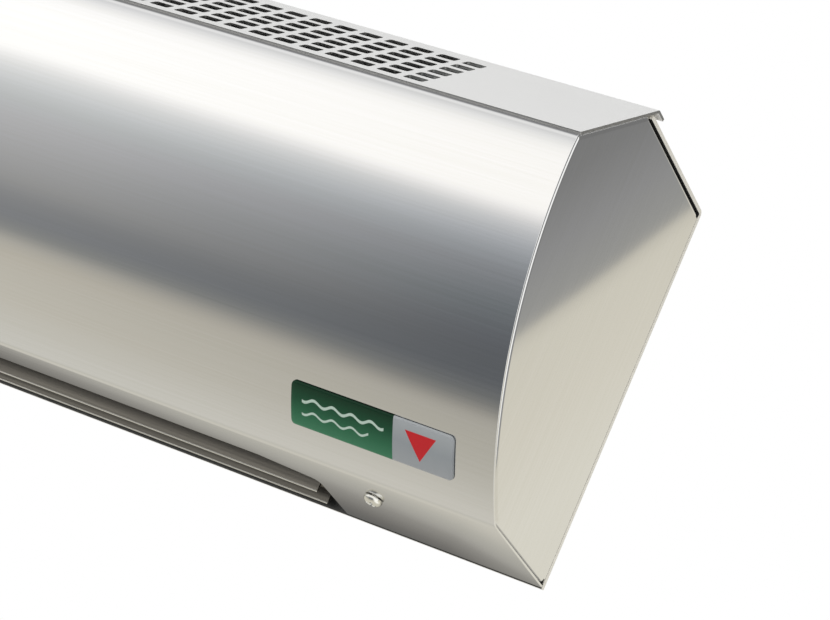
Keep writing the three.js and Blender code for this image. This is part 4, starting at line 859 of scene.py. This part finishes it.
# ---- Screws -------------------------------------------------------------------------------------
def pan_screw(length):
    """A 4 mm pan head screw with its head towards -Z and its shank towards +Z. The head is a polar grid
    whose height is a flattened dome less a cross recess; the shank carries a thread of fine rings."""
    radius, head_radius, head_height, sides = 2.0, 4.0, 2.8, 72
    ring = np.concatenate([np.linspace(0.0, 0.8, 22)[1:], [0.86, 0.91, 0.95, 0.98, 0.995, 1.0]])
    angle = np.linspace(0, 2 * np.pi, sides, endpoint=False)
    r = ring[:, None] * head_radius
    dome = head_height * (1 - ring[:, None] ** 2.2) ** 0.5 * 0.84 + head_height * 0.16
    x, y = r * np.cos(angle), r * np.sin(angle)
    across = np.minimum(np.abs(x), np.abs(y)) / head_radius
    along = np.maximum(np.abs(x), np.abs(y)) / head_radius
    arm = np.clip((0.15 - across) / 0.05, 0, 1) * np.clip((0.56 - along) / 0.1, 0, 1)
    floor = 0.62 - 0.45 * along
    high = dome - head_height * arm * floor
    top = np.stack([x, y, -high], axis=-1).reshape(-1, 3)
    centre = np.array([[0.0, 0.0, -head_height * 0.38]])
    thread = []
    pitch, depth = 0.8, 0.28
    turns = int((length - 1.5) / pitch)
    for i in range(turns):
        thread += [(radius - depth, 0.5 + i * pitch), (radius, 0.5 + (i + 0.5) * pitch)]
    wall = [(head_radius, -0.12), (head_radius - 0.12, 0.0), (radius - depth, 0.0)] + thread
    wall += [(radius - depth, length - 0.9), (radius * 0.45, length)]
    rows = np.array(wall)
    cyl = np.stack([rows[:, :1] * np.cos(angle), rows[:, :1] * np.sin(angle),
                    np.broadcast_to(rows[:, 1:], (len(rows), sides))], axis=-1).reshape(-1, 3)
    points = np.vstack([centre, top, cyl])
    total = len(ring) + len(rows)
    faces = [[1 + i for i in f] for f in quads(total, sides, round_columns=True)]
    i = np.arange(sides)
    faces += np.stack([np.zeros(sides, int), 1 + (i + 1) % sides, 1 + i], axis=1).tolist()
    last = 1 + (total - 1) * sides
    faces.append([last + int(j) for j in i])
    return points, faces


def set_screw(name, part, matrix):
    make(name + "_plated", fit(part, matrix), zinc_plated, name, sharp=38)


cover_screw = pan_screw(9.0)
slope_turn = Matrix.Rotation(-TILT, 4, "X")
for side, x in (("right", SCREW_X), ("left", -SCREW_X)):
    spin = Matrix.Rotation(math.radians(28 if side == "right" else -12), 4, "Z")
    spot = Matrix.Translation((0, 0, BASE)) @ slope_turn @ Matrix.Translation(
        (x, -SCREW_Y / math.cos(TILT), -SEAT)) @ spin
    set_screw("cover_screw_" + side, cover_screw, spot)

wall_seat = BACK + SEAT
flange_screw = pan_screw(wall_seat + CHASSIS + SEAT - 0.2)
for name, x in FLANGE_SCREWS:
    for level, z in SCREW_LEVELS:
        spot = Matrix.Translation((x, -(wall_seat + CHASSIS + SEAT), z))
        spot = spot @ Matrix.Rotation(-math.pi / 2, 4, "X") @ Matrix.Rotation(RNG.uniform(0, 1.5), 4, "Z")
        set_screw(name + "_" + level, flange_screw, spot)

MOTOR_FACE = BULK_R + CHASSIS + SEAT
MOTOR_SCREW_R = 37.5
motor_screw = pan_screw(MOTOR_FACE + 2.0 + SEAT - BULK_R + 2.0)
for number, degrees in enumerate((90, 210, 330), 1):
    y, z = arc(FAN, MOTOR_SCREW_R, degrees, degrees, 0)[0]
    spot = Matrix.Translation((MOTOR_FACE + 2.0 + SEAT, y, z)) @ Matrix.Rotation(-math.pi / 2, 4, "Y")
    set_screw("motor_screw_%d" % number, motor_screw, spot @ Matrix.Rotation(RNG.uniform(0, 1.5), 4, "Z"))


# ---- Fan and motor ------------------------------------------------------------------------------
DRUM_R, DRUM_L = BULK_R - 11.0, BULK_L + 11.0


def drum_parts():
    """The drum: blades are arcs that lean forward towards the rim, carried along X; the discs are
    turned rings with rolled rims."""
    parts = []
    share = np.linspace(0, 1, 9)
    for i in range(24):
        turn = 2 * math.pi * i / 24 - 0.2 * share ** 2
        r = FAN_R - 0.4 - 8.5 * (1 - share)
        path = np.stack([FAN[0] + r * np.cos(turn), FAN[1] + r * np.sin(turn)], axis=1)
        parts.append(extrude_sheet(path, 0.9, (DRUM_L + 0.7, DRUM_R - 0.7)))
    middle = (DRUM_L + DRUM_R) / 2
    for x, bore in ((DRUM_L, 6.3), (middle - 0.7, 27.0), (DRUM_R - 1.4, 9.0)):
        parts.append(turned([
            (bore, x), (bore, x + 1.4), (FAN_R - 0.3, x + 1.4), (FAN_R, x + 1.1), (FAN_R, x + 0.3),
            (FAN_R - 0.3, x), (bore, x)], FAN, sides=96))
    return gather(*parts)


make("fan_drum_sheet", drum_parts(), galvanised, "fan_drum", "fan_rotor", sharp=30)
make("fan_hub_rubber", turned([
    (4.3, DRUM_R - 6.0), (8.7, DRUM_R - 6.0), (8.7, DRUM_R + 0.3), (13.4, DRUM_R + 0.3), (13.4, DRUM_R + 2.0),
    (4.3, DRUM_R + 2.0), (4.3, DRUM_R - 6.0)], FAN), rubber, "fan_hub", "fan_rotor", bevel=0.4)
MOTOR_SPLIT = MOTOR_FACE + 22.0
BLIND = MOTOR_SPLIT + SEAT + 13.0
make("motor_shaft_ground", turned([
    (0.0, DRUM_R - 5.0), (3.7, DRUM_R - 5.0), (4.0, DRUM_R - 4.6), (4.0, BLIND - 1.4), (3.7, BLIND - 1.0),
    (0.0, BLIND - 1.0)], FAN), ground_shaft, "motor_shaft", "fan_rotor")
HOLDER = BULK_L - CHASSIS - SEAT
BUSH_END, BUSH_START = HOLDER - 1.0, HOLDER - 8.0
make("fan_stub_shaft_ground", turned([
    (0.0, BUSH_START - 2.0), (3.6, BUSH_START - 2.0), (4.0, BUSH_START - 1.6), (4.0, DRUM_L - 2.3),
    (10.0, DRUM_L - 2.3), (10.0, DRUM_L - 0.3), (6.0, DRUM_L - 0.3), (6.0, DRUM_L + 3.6),
    (5.6, DRUM_L + 4.0), (0.0, DRUM_L + 4.0)], FAN), ground_shaft, "fan_stub_shaft", "fan_rotor",
    bevel=0.15)
make("bearing_bush_bronze", turned([
    (4.35, BUSH_START), (8.0, BUSH_START), (8.0, BUSH_END), (4.35, BUSH_END), (4.35, BUSH_START)], FAN),
    bronze, "bearing_bush", bevel=0.3)
make("bearing_holder_moulded", turned([
    (8.3, BUSH_START), (12.3, BUSH_START), (13.3, BUSH_START + 1.0), (13.3, HOLDER - 1.67),
    (18.3, HOLDER - 1.67), (18.3, HOLDER), (8.3, HOLDER), (8.3, BUSH_START)], FAN), black_plastic,
    "bearing_holder", bevel=0.3)


def front_shell():
    """The motor's front shell: a turned cup with a flange of three screw holes, filled between
    its ribs, and cooling grooves round its rim."""
    grooves = []
    x = MOTOR_FACE + 5.0
    while x < MOTOR_SPLIT - 4.0:
        grooves += [(33.0, x), (32.2, x + 0.5), (32.2, x + 1.5), (33.0, x + 2.0)]
        x += 4.0
    profile = [(4.6, MOTOR_FACE), (42.0, MOTOR_FACE), (42.0, MOTOR_FACE + 2.0), (33.0, MOTOR_FACE + 2.0)]
    profile += grooves + [(33.0, MOTOR_SPLIT), (4.6, MOTOR_SPLIT), (4.6, MOTOR_FACE)]
    return turned(profile, FAN, sides=96)


make("motor_front_casting", front_shell(), casting, "motor_front_shell", bevel=0.25)
REAR_START, REAR_END = MOTOR_SPLIT + SEAT, MOTOR_SPLIT + SEAT + 26.0
make("motor_rear_casting", turned([
    (0.0, BLIND), (4.6, BLIND), (4.6, REAR_START), (33.0, REAR_START), (33.0, REAR_START + 3.0),
    (32.2, REAR_START + 3.5), (32.2, REAR_START + 5.0), (33.0, REAR_START + 5.5),
    (33.0, REAR_END - 7.0), (32.2, REAR_END - 4.0), (30.0, REAR_END - 1.6), (27.0, REAR_END - 0.6),
    (13.2, REAR_END), (13.2, REAR_END + 3.4), (12.4, REAR_END + 4.0), (0.0, REAR_END + 4.0)], FAN, sides=96),
    casting, "motor_rear_shell", bevel=0.25)


# ---- Air duct, vanes and heater -----------------------------------------------------------------
VANES = (("vane_front", 16.5), ("vane_rear", 5.5))
VANE_HALF = 7.5


def volute_path():
    """The volute: from the hood down to near the drum, then round it on a widening spiral."""
    share = np.linspace(0, 1, 41)
    angle = math.radians(75) * (1 - share)
    r = 41.0 + (-FAN[0] - BACK - 5.5 - 41.0) * share
    scroll = np.stack([FAN[0] + r * np.cos(angle), FAN[1] + r * np.sin(angle)], axis=1)
    top = [-39.3, hood_z(39.3, BACK + SEAT + 0.4)]
    low = [-BACK - 2.75, underside_z(VANES[1][1]) + 2 * VANE_HALF + 6.0]
    return np.vstack([[top], scroll, [low]])


def stabiliser_path():
    """The stabiliser: from the cover to a rounded tongue under the drum, then down to the outlet."""
    seat = CURVE_R - COVER - SEAT - 0.4
    meet = math.asin((CURVE_C[1] - FAN[1] + 38.6) / seat)
    front = CURVE_C - seat * np.array([math.cos(meet), math.sin(meet)])
    tongue = arc(FAN, FAN_R + 3.0, -124, -100, 12)
    edge = OUTLET_FRONT + CHASSIS + 1.0
    low = [-edge, underside_z(edge, COVER + SEAT) + 0.4]
    return np.vstack([[front], tongue, [low]])


for node, path in (("rear_volute", volute_path()), ("front_stabiliser", stabiliser_path())):
    make(node + "_sheet", extrude_sheet(path, CHASSIS, (BULK_L + SEAT, BULK_R - SEAT)), galvanised, node,
         bevel=0.15, sharp=50)


def vane_parts(from_wall):
    """A vane: one closed section, a blade 1 mm thick with rounded edges that swells into a round
    bead at mid chord, carried along X, with a turned pin at each end."""
    y, z = -from_wall, underside_z(from_wall) + VANE_HALF
    bead, thick = 1.9, 0.5
    low_start = math.degrees(math.asin(thick / bead))
    right = arc((y, z), bead, -90 + low_start, 90 - low_start, 14)
    left = arc((y, z), bead, 90 + low_start, 270 - low_start, 14)
    top = arc((y, z + VANE_HALF - thick), thick, 0, 180, 8)
    bottom = arc((y, z - VANE_HALF + thick), thick, 180, 360, 8)
    ring = np.vstack([right, top, left, bottom])
    n = len(ring)
    stations = (BULK_L + 13.0, BULK_R - 13.0)
    points = carried(ring, stations).reshape(-1, 3)
    faces = quads(2, n, round_columns=True) + [list(range(n)), list(range(2 * n - 1, n - 1, -1))]
    pins = turned([(0.0, BULK_L - CHASSIS), (1.3, BULK_L - CHASSIS), (1.5, BULK_L - CHASSIS + 0.2),
                   (1.5, BULK_R + CHASSIS - 0.2), (1.3, BULK_R + CHASSIS), (0.0, BULK_R + CHASSIS)],
                  (y, z), sides=24)
    return gather((points, faces), pins)


for vane, from_wall in VANES:
    blade = make(vane + "_rolled", vane_parts(from_wall), vane_steel, vane, vane, sharp=40)
    # Only the lower edge gets the pale steel: a painted highlight on bare sheared steel.
    edge = underside_z(from_wall) + 0.75
    second_finish(blade, bare_edge_painted_highlight, lambda x, y, z, edge=edge: z < edge)

ROD_L, ROD_R = BULK_L - CHASSIS - 9.0, BULK_R + CHASSIS + 9.0
for number in range(3):
    spot = (-18.0 - 13.0 * number, BASE + 42.0)
    node = "heater_rod_%d" % (number + 1)
    make(node + "_sheath", turned([
        (0.0, ROD_L - 5.0), (1.3, ROD_L - 5.0), (1.6, ROD_L - 4.6), (1.6, ROD_L), (3.1, ROD_L),
        (3.5, ROD_L + 0.5), (3.5, ROD_R - 0.5), (3.1, ROD_R), (1.6, ROD_R), (1.6, ROD_R + 4.6),
        (1.3, ROD_R + 5.0), (0.0, ROD_R + 5.0)], spot, sides=40), sheath, node)

# ---- Pieces whose CAD shape is already right: finer copies, most with their edges rounded -------
BODIES = {"switch_rocker_fan": "rocker_fan", "switch_rocker_heat": "rocker_heat"}
for nodes, material, bevel in (
    (("bulkhead_right", "bulkhead_left"), galvanised, 0.2),
    (("heater_link_right", "heater_link_left"), zinc_plated, 0.15),
    (("thermal_cutout",), black_plastic, 0.15),
    (("terminal_block",), white_plastic, 0.3),
    (("capacitor",), white_plastic, 0.2),
    (("capacitor_clip",), galvanised, 0.2),
    (("switch_housing_fan", "switch_housing_heat"), black_plastic, 0.3),
    (("switch_rocker_fan",), black_plastic, 0.35),
    (("switch_rocker_heat",), red_plastic, 0.35),
    (("motor_lead", "switch_lead_fan", "switch_lead_heat", "heater_lead"), insulation, 0.0),
):
    for node in nodes:
        dress(node, material, BODIES.get(node, "casing"), bevel, 60.0 if "lead" in node else 32.0)

make("cable_grommet_rubber", turned([
    (4.2, -4.7), (5.0, -5.5), (8.0, -5.5), (10.4, -4.3), (11.0, -3.5), (11.0, -2.3), (10.8, -2.1),
    (8.0, -2.1), (8.0, 0.0), (4.2, 0.0), (4.2, -4.7)], CABLE_SPOT, along="y"), rubber, "cable_grommet")


# ---- Studio -------------------------------------------------------------------------------------
# The metal mirrors the world and the cards at this strength, which makes up for what it absorbs.
CARD_GLOW = 1.62


def studio_camera():
    """The photograph's camera, below the unit and to its right, with a long lens."""
    data = bpy.data.cameras.new("camera")
    data.sensor_fit, data.sensor_width = "HORIZONTAL", 36.0
    picture_width, focal_length = 830.0, 3200.0
    data.lens = focal_length / picture_width * data.sensor_width
    data.clip_start, data.clip_end = 0.05, 50.0
    camera = show("camera", data)
    right = Vector((0.81492717, 0.42627949, 0.39265699))
    up = Vector((-0.27377083, -0.3140132, 0.90909034))
    back = -Vector((-0.51082604, 0.84834044, 0.139195))
    turn = Matrix((right, up, back)).transposed()
    camera.matrix_world = Matrix.Translation(Vector((863.15, -1107.45, -183.38)) * MM) @ turn.to_4x4()
    bpy.context.scene.camera = camera


def studio_world():
    """What the metal mirrors: long strips of light and shade that run beside the unit, by the
    angle round the X axis (0 ahead of the front, 90 straight below, 180 behind)."""
    world = bpy.data.worlds.new("studio")
    bpy.context.scene.world = world
    world.use_nodes = True
    tree = world.node_tree
    tree.nodes.clear()
    way = add(tree, "SeparateXYZ", {"Vector": add(tree, "TexCoord").outputs["Generated"]})
    x, y, z = way.outputs
    minus_z = add(tree, "Math", {0: z, 1: -1.0}, operation="MULTIPLY").outputs[0]
    minus_y = add(tree, "Math", {0: y, 1: -1.0}, operation="MULTIPLY").outputs[0]
    angle = add(tree, "Math", {0: minus_z, 1: minus_y}, operation="ARCTAN2").outputs[0]
    turn = spread(tree, angle, 0.0, 1.0, -math.pi, math.pi)

    def strips(table):
        return [((degrees + 180.0) / 360.0, code) for degrees, code in table]

    left = ramp(tree, turn, strips([
        (-180, "#7a7a7a"), (-100, "#6a6a6a"), (-40, "#8d8d8d"), (-26.4, "#c3c3c3"), (-23, "#dadad9"),
        (-17.4, "#f0efec"), (-11, "#fffefb"), (3, "#fffefa"), (5, "#ecebe8"), (8.4, "#d6d7d5"),
        (12.7, "#c4c6c5"), (17, "#b6b8b7"), (21.3, "#b0b0b0"), (30, "#a3a3a2"), (38.5, "#959593"),
        (44, "#828383"), (49.5, "#7a7c7e"), (53.6, "#848582"), (57, "#aba89e"), (61, "#b4afa2"),
        (66, "#b7b3a7"), (75, "#bab6aa"), (88, "#c1bfb6"), (100, "#c1bfb6"), (118, "#b4b2a8"),
        (140, "#a5a39a"), (153, "#9a9890"), (180, "#8c8c88")]))
    right = ramp(tree, turn, strips([
        (-180, "#7a7a7a"), (-100, "#6a6a6a"), (-40, "#8d8d8d"), (-26.4, "#c3c3c3"), (-23, "#d9d9d7"),
        (-17.4, "#ebeae6"), (-11, "#f7f5f0"), (3, "#f8f6f1"), (5, "#e4e2df"), (8.4, "#bdbebe"),
        (12.7, "#a3a6a9"), (17, "#8c9093"), (21.3, "#7b7e81"), (30, "#656a6d"), (38.5, "#595c60"),
        (44, "#575a5d"), (49.5, "#585b5e"), (53.6, "#666868"), (57, "#7d7c77"), (58.6, "#96938a"),
        (61, "#a5a298"), (66, "#a8a59a"), (75, "#aeaba0"), (88, "#c1beb4"), (100, "#c1beb4"),
        (118, "#b4b2a8"), (140, "#a5a39a"), (153, "#9a9890"), (180, "#8c8c88")]))
    side = spread(tree, x, 0.0, 1.0, -0.62, -0.49)
    strip = add(tree, "Mix", {"Factor": side, 6: left, 7: right}, data_type="RGBA").outputs[2]

    # A white softbox stands to the right; rounded right-hand edges pick it up.
    softbox = add(tree, "Math", {
        0: spread(tree, x, 0.0, 1.0, 0.3, 0.5), 1: spread(tree, y, 1.0, 0.0, 0.3, 0.6),
    }, operation="MULTIPLY").outputs[0]
    mirrored = add(tree, "Mix", {
        "Factor": softbox, 6: strip, 7: (0.9, 0.9, 0.88, 1.0)}, data_type="RGBA").outputs[2]

    path = add(tree, "LightPath")
    glossy = add(tree, "Background", {"Color": mirrored, "Strength": CARD_GLOW})
    plain_sky = ramp(tree, spread(tree, z, 0.0, 1.0, -1.0, 1.0), [
        (0.0, "#8f8d88"), (0.42, "#a9a8a5"), (0.55, "#d6d6d5"), (1.0, "#ffffff")])
    soft = add(tree, "Background", {"Color": plain_sky, "Strength": 0.8})
    white = add(tree, "Background", {"Color": (1.0, 1.0, 1.0, 1.0), "Strength": 1.0})
    lit = add(tree, "MixShader", {
        0: path.outputs["Is Glossy Ray"], 1: soft.outputs[0], 2: glossy.outputs[0]})
    seen = add(tree, "MixShader", {
        0: path.outputs["Is Camera Ray"], 1: lit.outputs[0], 2: white.outputs[0]})
    add(tree, "OutputWorld", {"Surface": seen.outputs[0]})


def studio_lamp(name, spot, target, size, watts):
    """A rectangular lamp that the metal doesn't mirror."""
    data = bpy.data.lights.new(name, "AREA")
    data.shape, data.size, data.size_y = "RECTANGLE", size[0], size[1]
    data.energy = watts
    lamp = show(name, data)
    lamp.location = spot
    lamp.rotation_euler = (Vector(target) - Vector(spot)).to_track_quat("-Z", "Y").to_euler()
    lamp.visible_glossy = False


def studio_floor():
    """A pale floor well under the unit, matt, kept out of the metal's reflections."""
    mesh = bpy.data.meshes.new("floor")
    size, level = 4.0, -0.42
    corners = [(x, y, level) for x, y in rectangle(-size, -size, size, size).tolist()]
    mesh.from_pydata(corners, [], [(0, 1, 2, 3)])
    material, tree, shader = start_material("matt_floor_paint", Base_Color=srgb("#f4f4f4"), Roughness=0.9)
    tone = grain(tree, (3.0, 3.0, 3.0), detail=3.0)
    wire(tree, shader, Base_Color=ramp(tree, tone, [(0.3, "#f3f3f3"), (0.7, "#f6f6f6")]))
    mesh.materials.append(material)
    floor = show("floor", mesh)
    floor.visible_glossy = False


def studio_card(name, corners, colour):
    """A lit card that only the metal sees: a quad whose glow is a colour made by colour(tree, x, y, z)
    from the place on it, in millimetres."""
    mesh = bpy.data.meshes.new(name)
    mesh.from_pydata([tuple(v * MM for v in corner) for corner in corners], [], [(0, 1, 2, 3)])
    material = bpy.data.materials.new(name + "_glow")
    material.use_nodes = True
    tree = material.node_tree
    tree.nodes.clear()
    spot = add(tree, "SeparateXYZ", {"Vector": place(tree, (1000.0, 1000.0, 1000.0))})
    glow = add(tree, "Emission", {"Color": colour(tree, *spot.outputs), "Strength": CARD_GLOW})
    add(tree, "OutputMaterial", {"Surface": glow.outputs[0]})
    mesh.materials.append(material)
    card = show(name, mesh)
    card.visible_camera = card.visible_diffuse = card.visible_shadow = card.visible_transmission = False


def weighed(tree, terms, shift=0.0):
    """The sum of each socket times its number, plus the shift."""
    total = shift
    for socket, weight in terms:
        total = add(tree, "Math", {0: socket, 1: weight, 2: total}, operation="MULTIPLY_ADD").outputs[0]
    return total


def end_card_colour(tree, x, y, z):
    """Grey above a slanting edge, warm white below it."""
    below = weighed(tree, [(y, 0.695), (z, -0.719)], -45.8)
    return ramp(tree, spread(tree, below, 0.0, 1.0, -100.0, 100.0), [
        (0.0, "#6f6f6e"), (0.2, "#787877"), (0.35, "#878786"), (0.47, "#90908c"), (0.49, "#989791"),
        (0.515, "#bdb9ac"), (0.55, "#c6c2b4"), (0.75, "#cac6b8"), (1.0, "#d0cdc0")])


def wall_card_colour(tree, x, y, z):
    """The wall under the unit: dark in its shadow, paler further down and towards the right end."""
    past = add(tree, "Math", {0: x, 1: 250.0}, operation="SUBTRACT").outputs[0]
    end = add(tree, "Math", {0: past, 1: 0.0}, operation="MAXIMUM").outputs[0]
    drop = weighed(tree, [(z, -1.0), (past, 0.037), (end, 0.11)])
    return ramp(tree, spread(tree, drop, 0.0, 1.0, 92.0, 132.0), [
        (0.0, "#5d5c59"), (0.06, "#686662"), (0.19, "#83817b"), (0.25, "#95938c"), (0.3, "#9c9a92"),
        (0.36, "#a3a198"), (0.43, "#aeaba1"), (0.5, "#b6b3a8"), (1.0, "#bdbaaf")])


studio_camera()
studio_world()
studio_floor()
studio_card("end_card", [(400, -60, -200), (400, 420, -200), (400, 420, 320), (400, -60, 320)],
            end_card_colour)
studio_card("wall_card", [(-420, 4, -92), (305, 4, -92), (305, 4, -200), (-420, 4, -200)],
            wall_card_colour)
studio_lamp("key", (-0.9, -1.6, 1.6), (0.0, 0.0, 0.0), (1.6, 1.2), 20.0)
studio_lamp("fill", (1.6, -0.9, 0.9), (0.1, 0.0, 0.0), (1.2, 1.2), 6.0)
bpy.context.scene.view_settings.view_transform = "Standard"
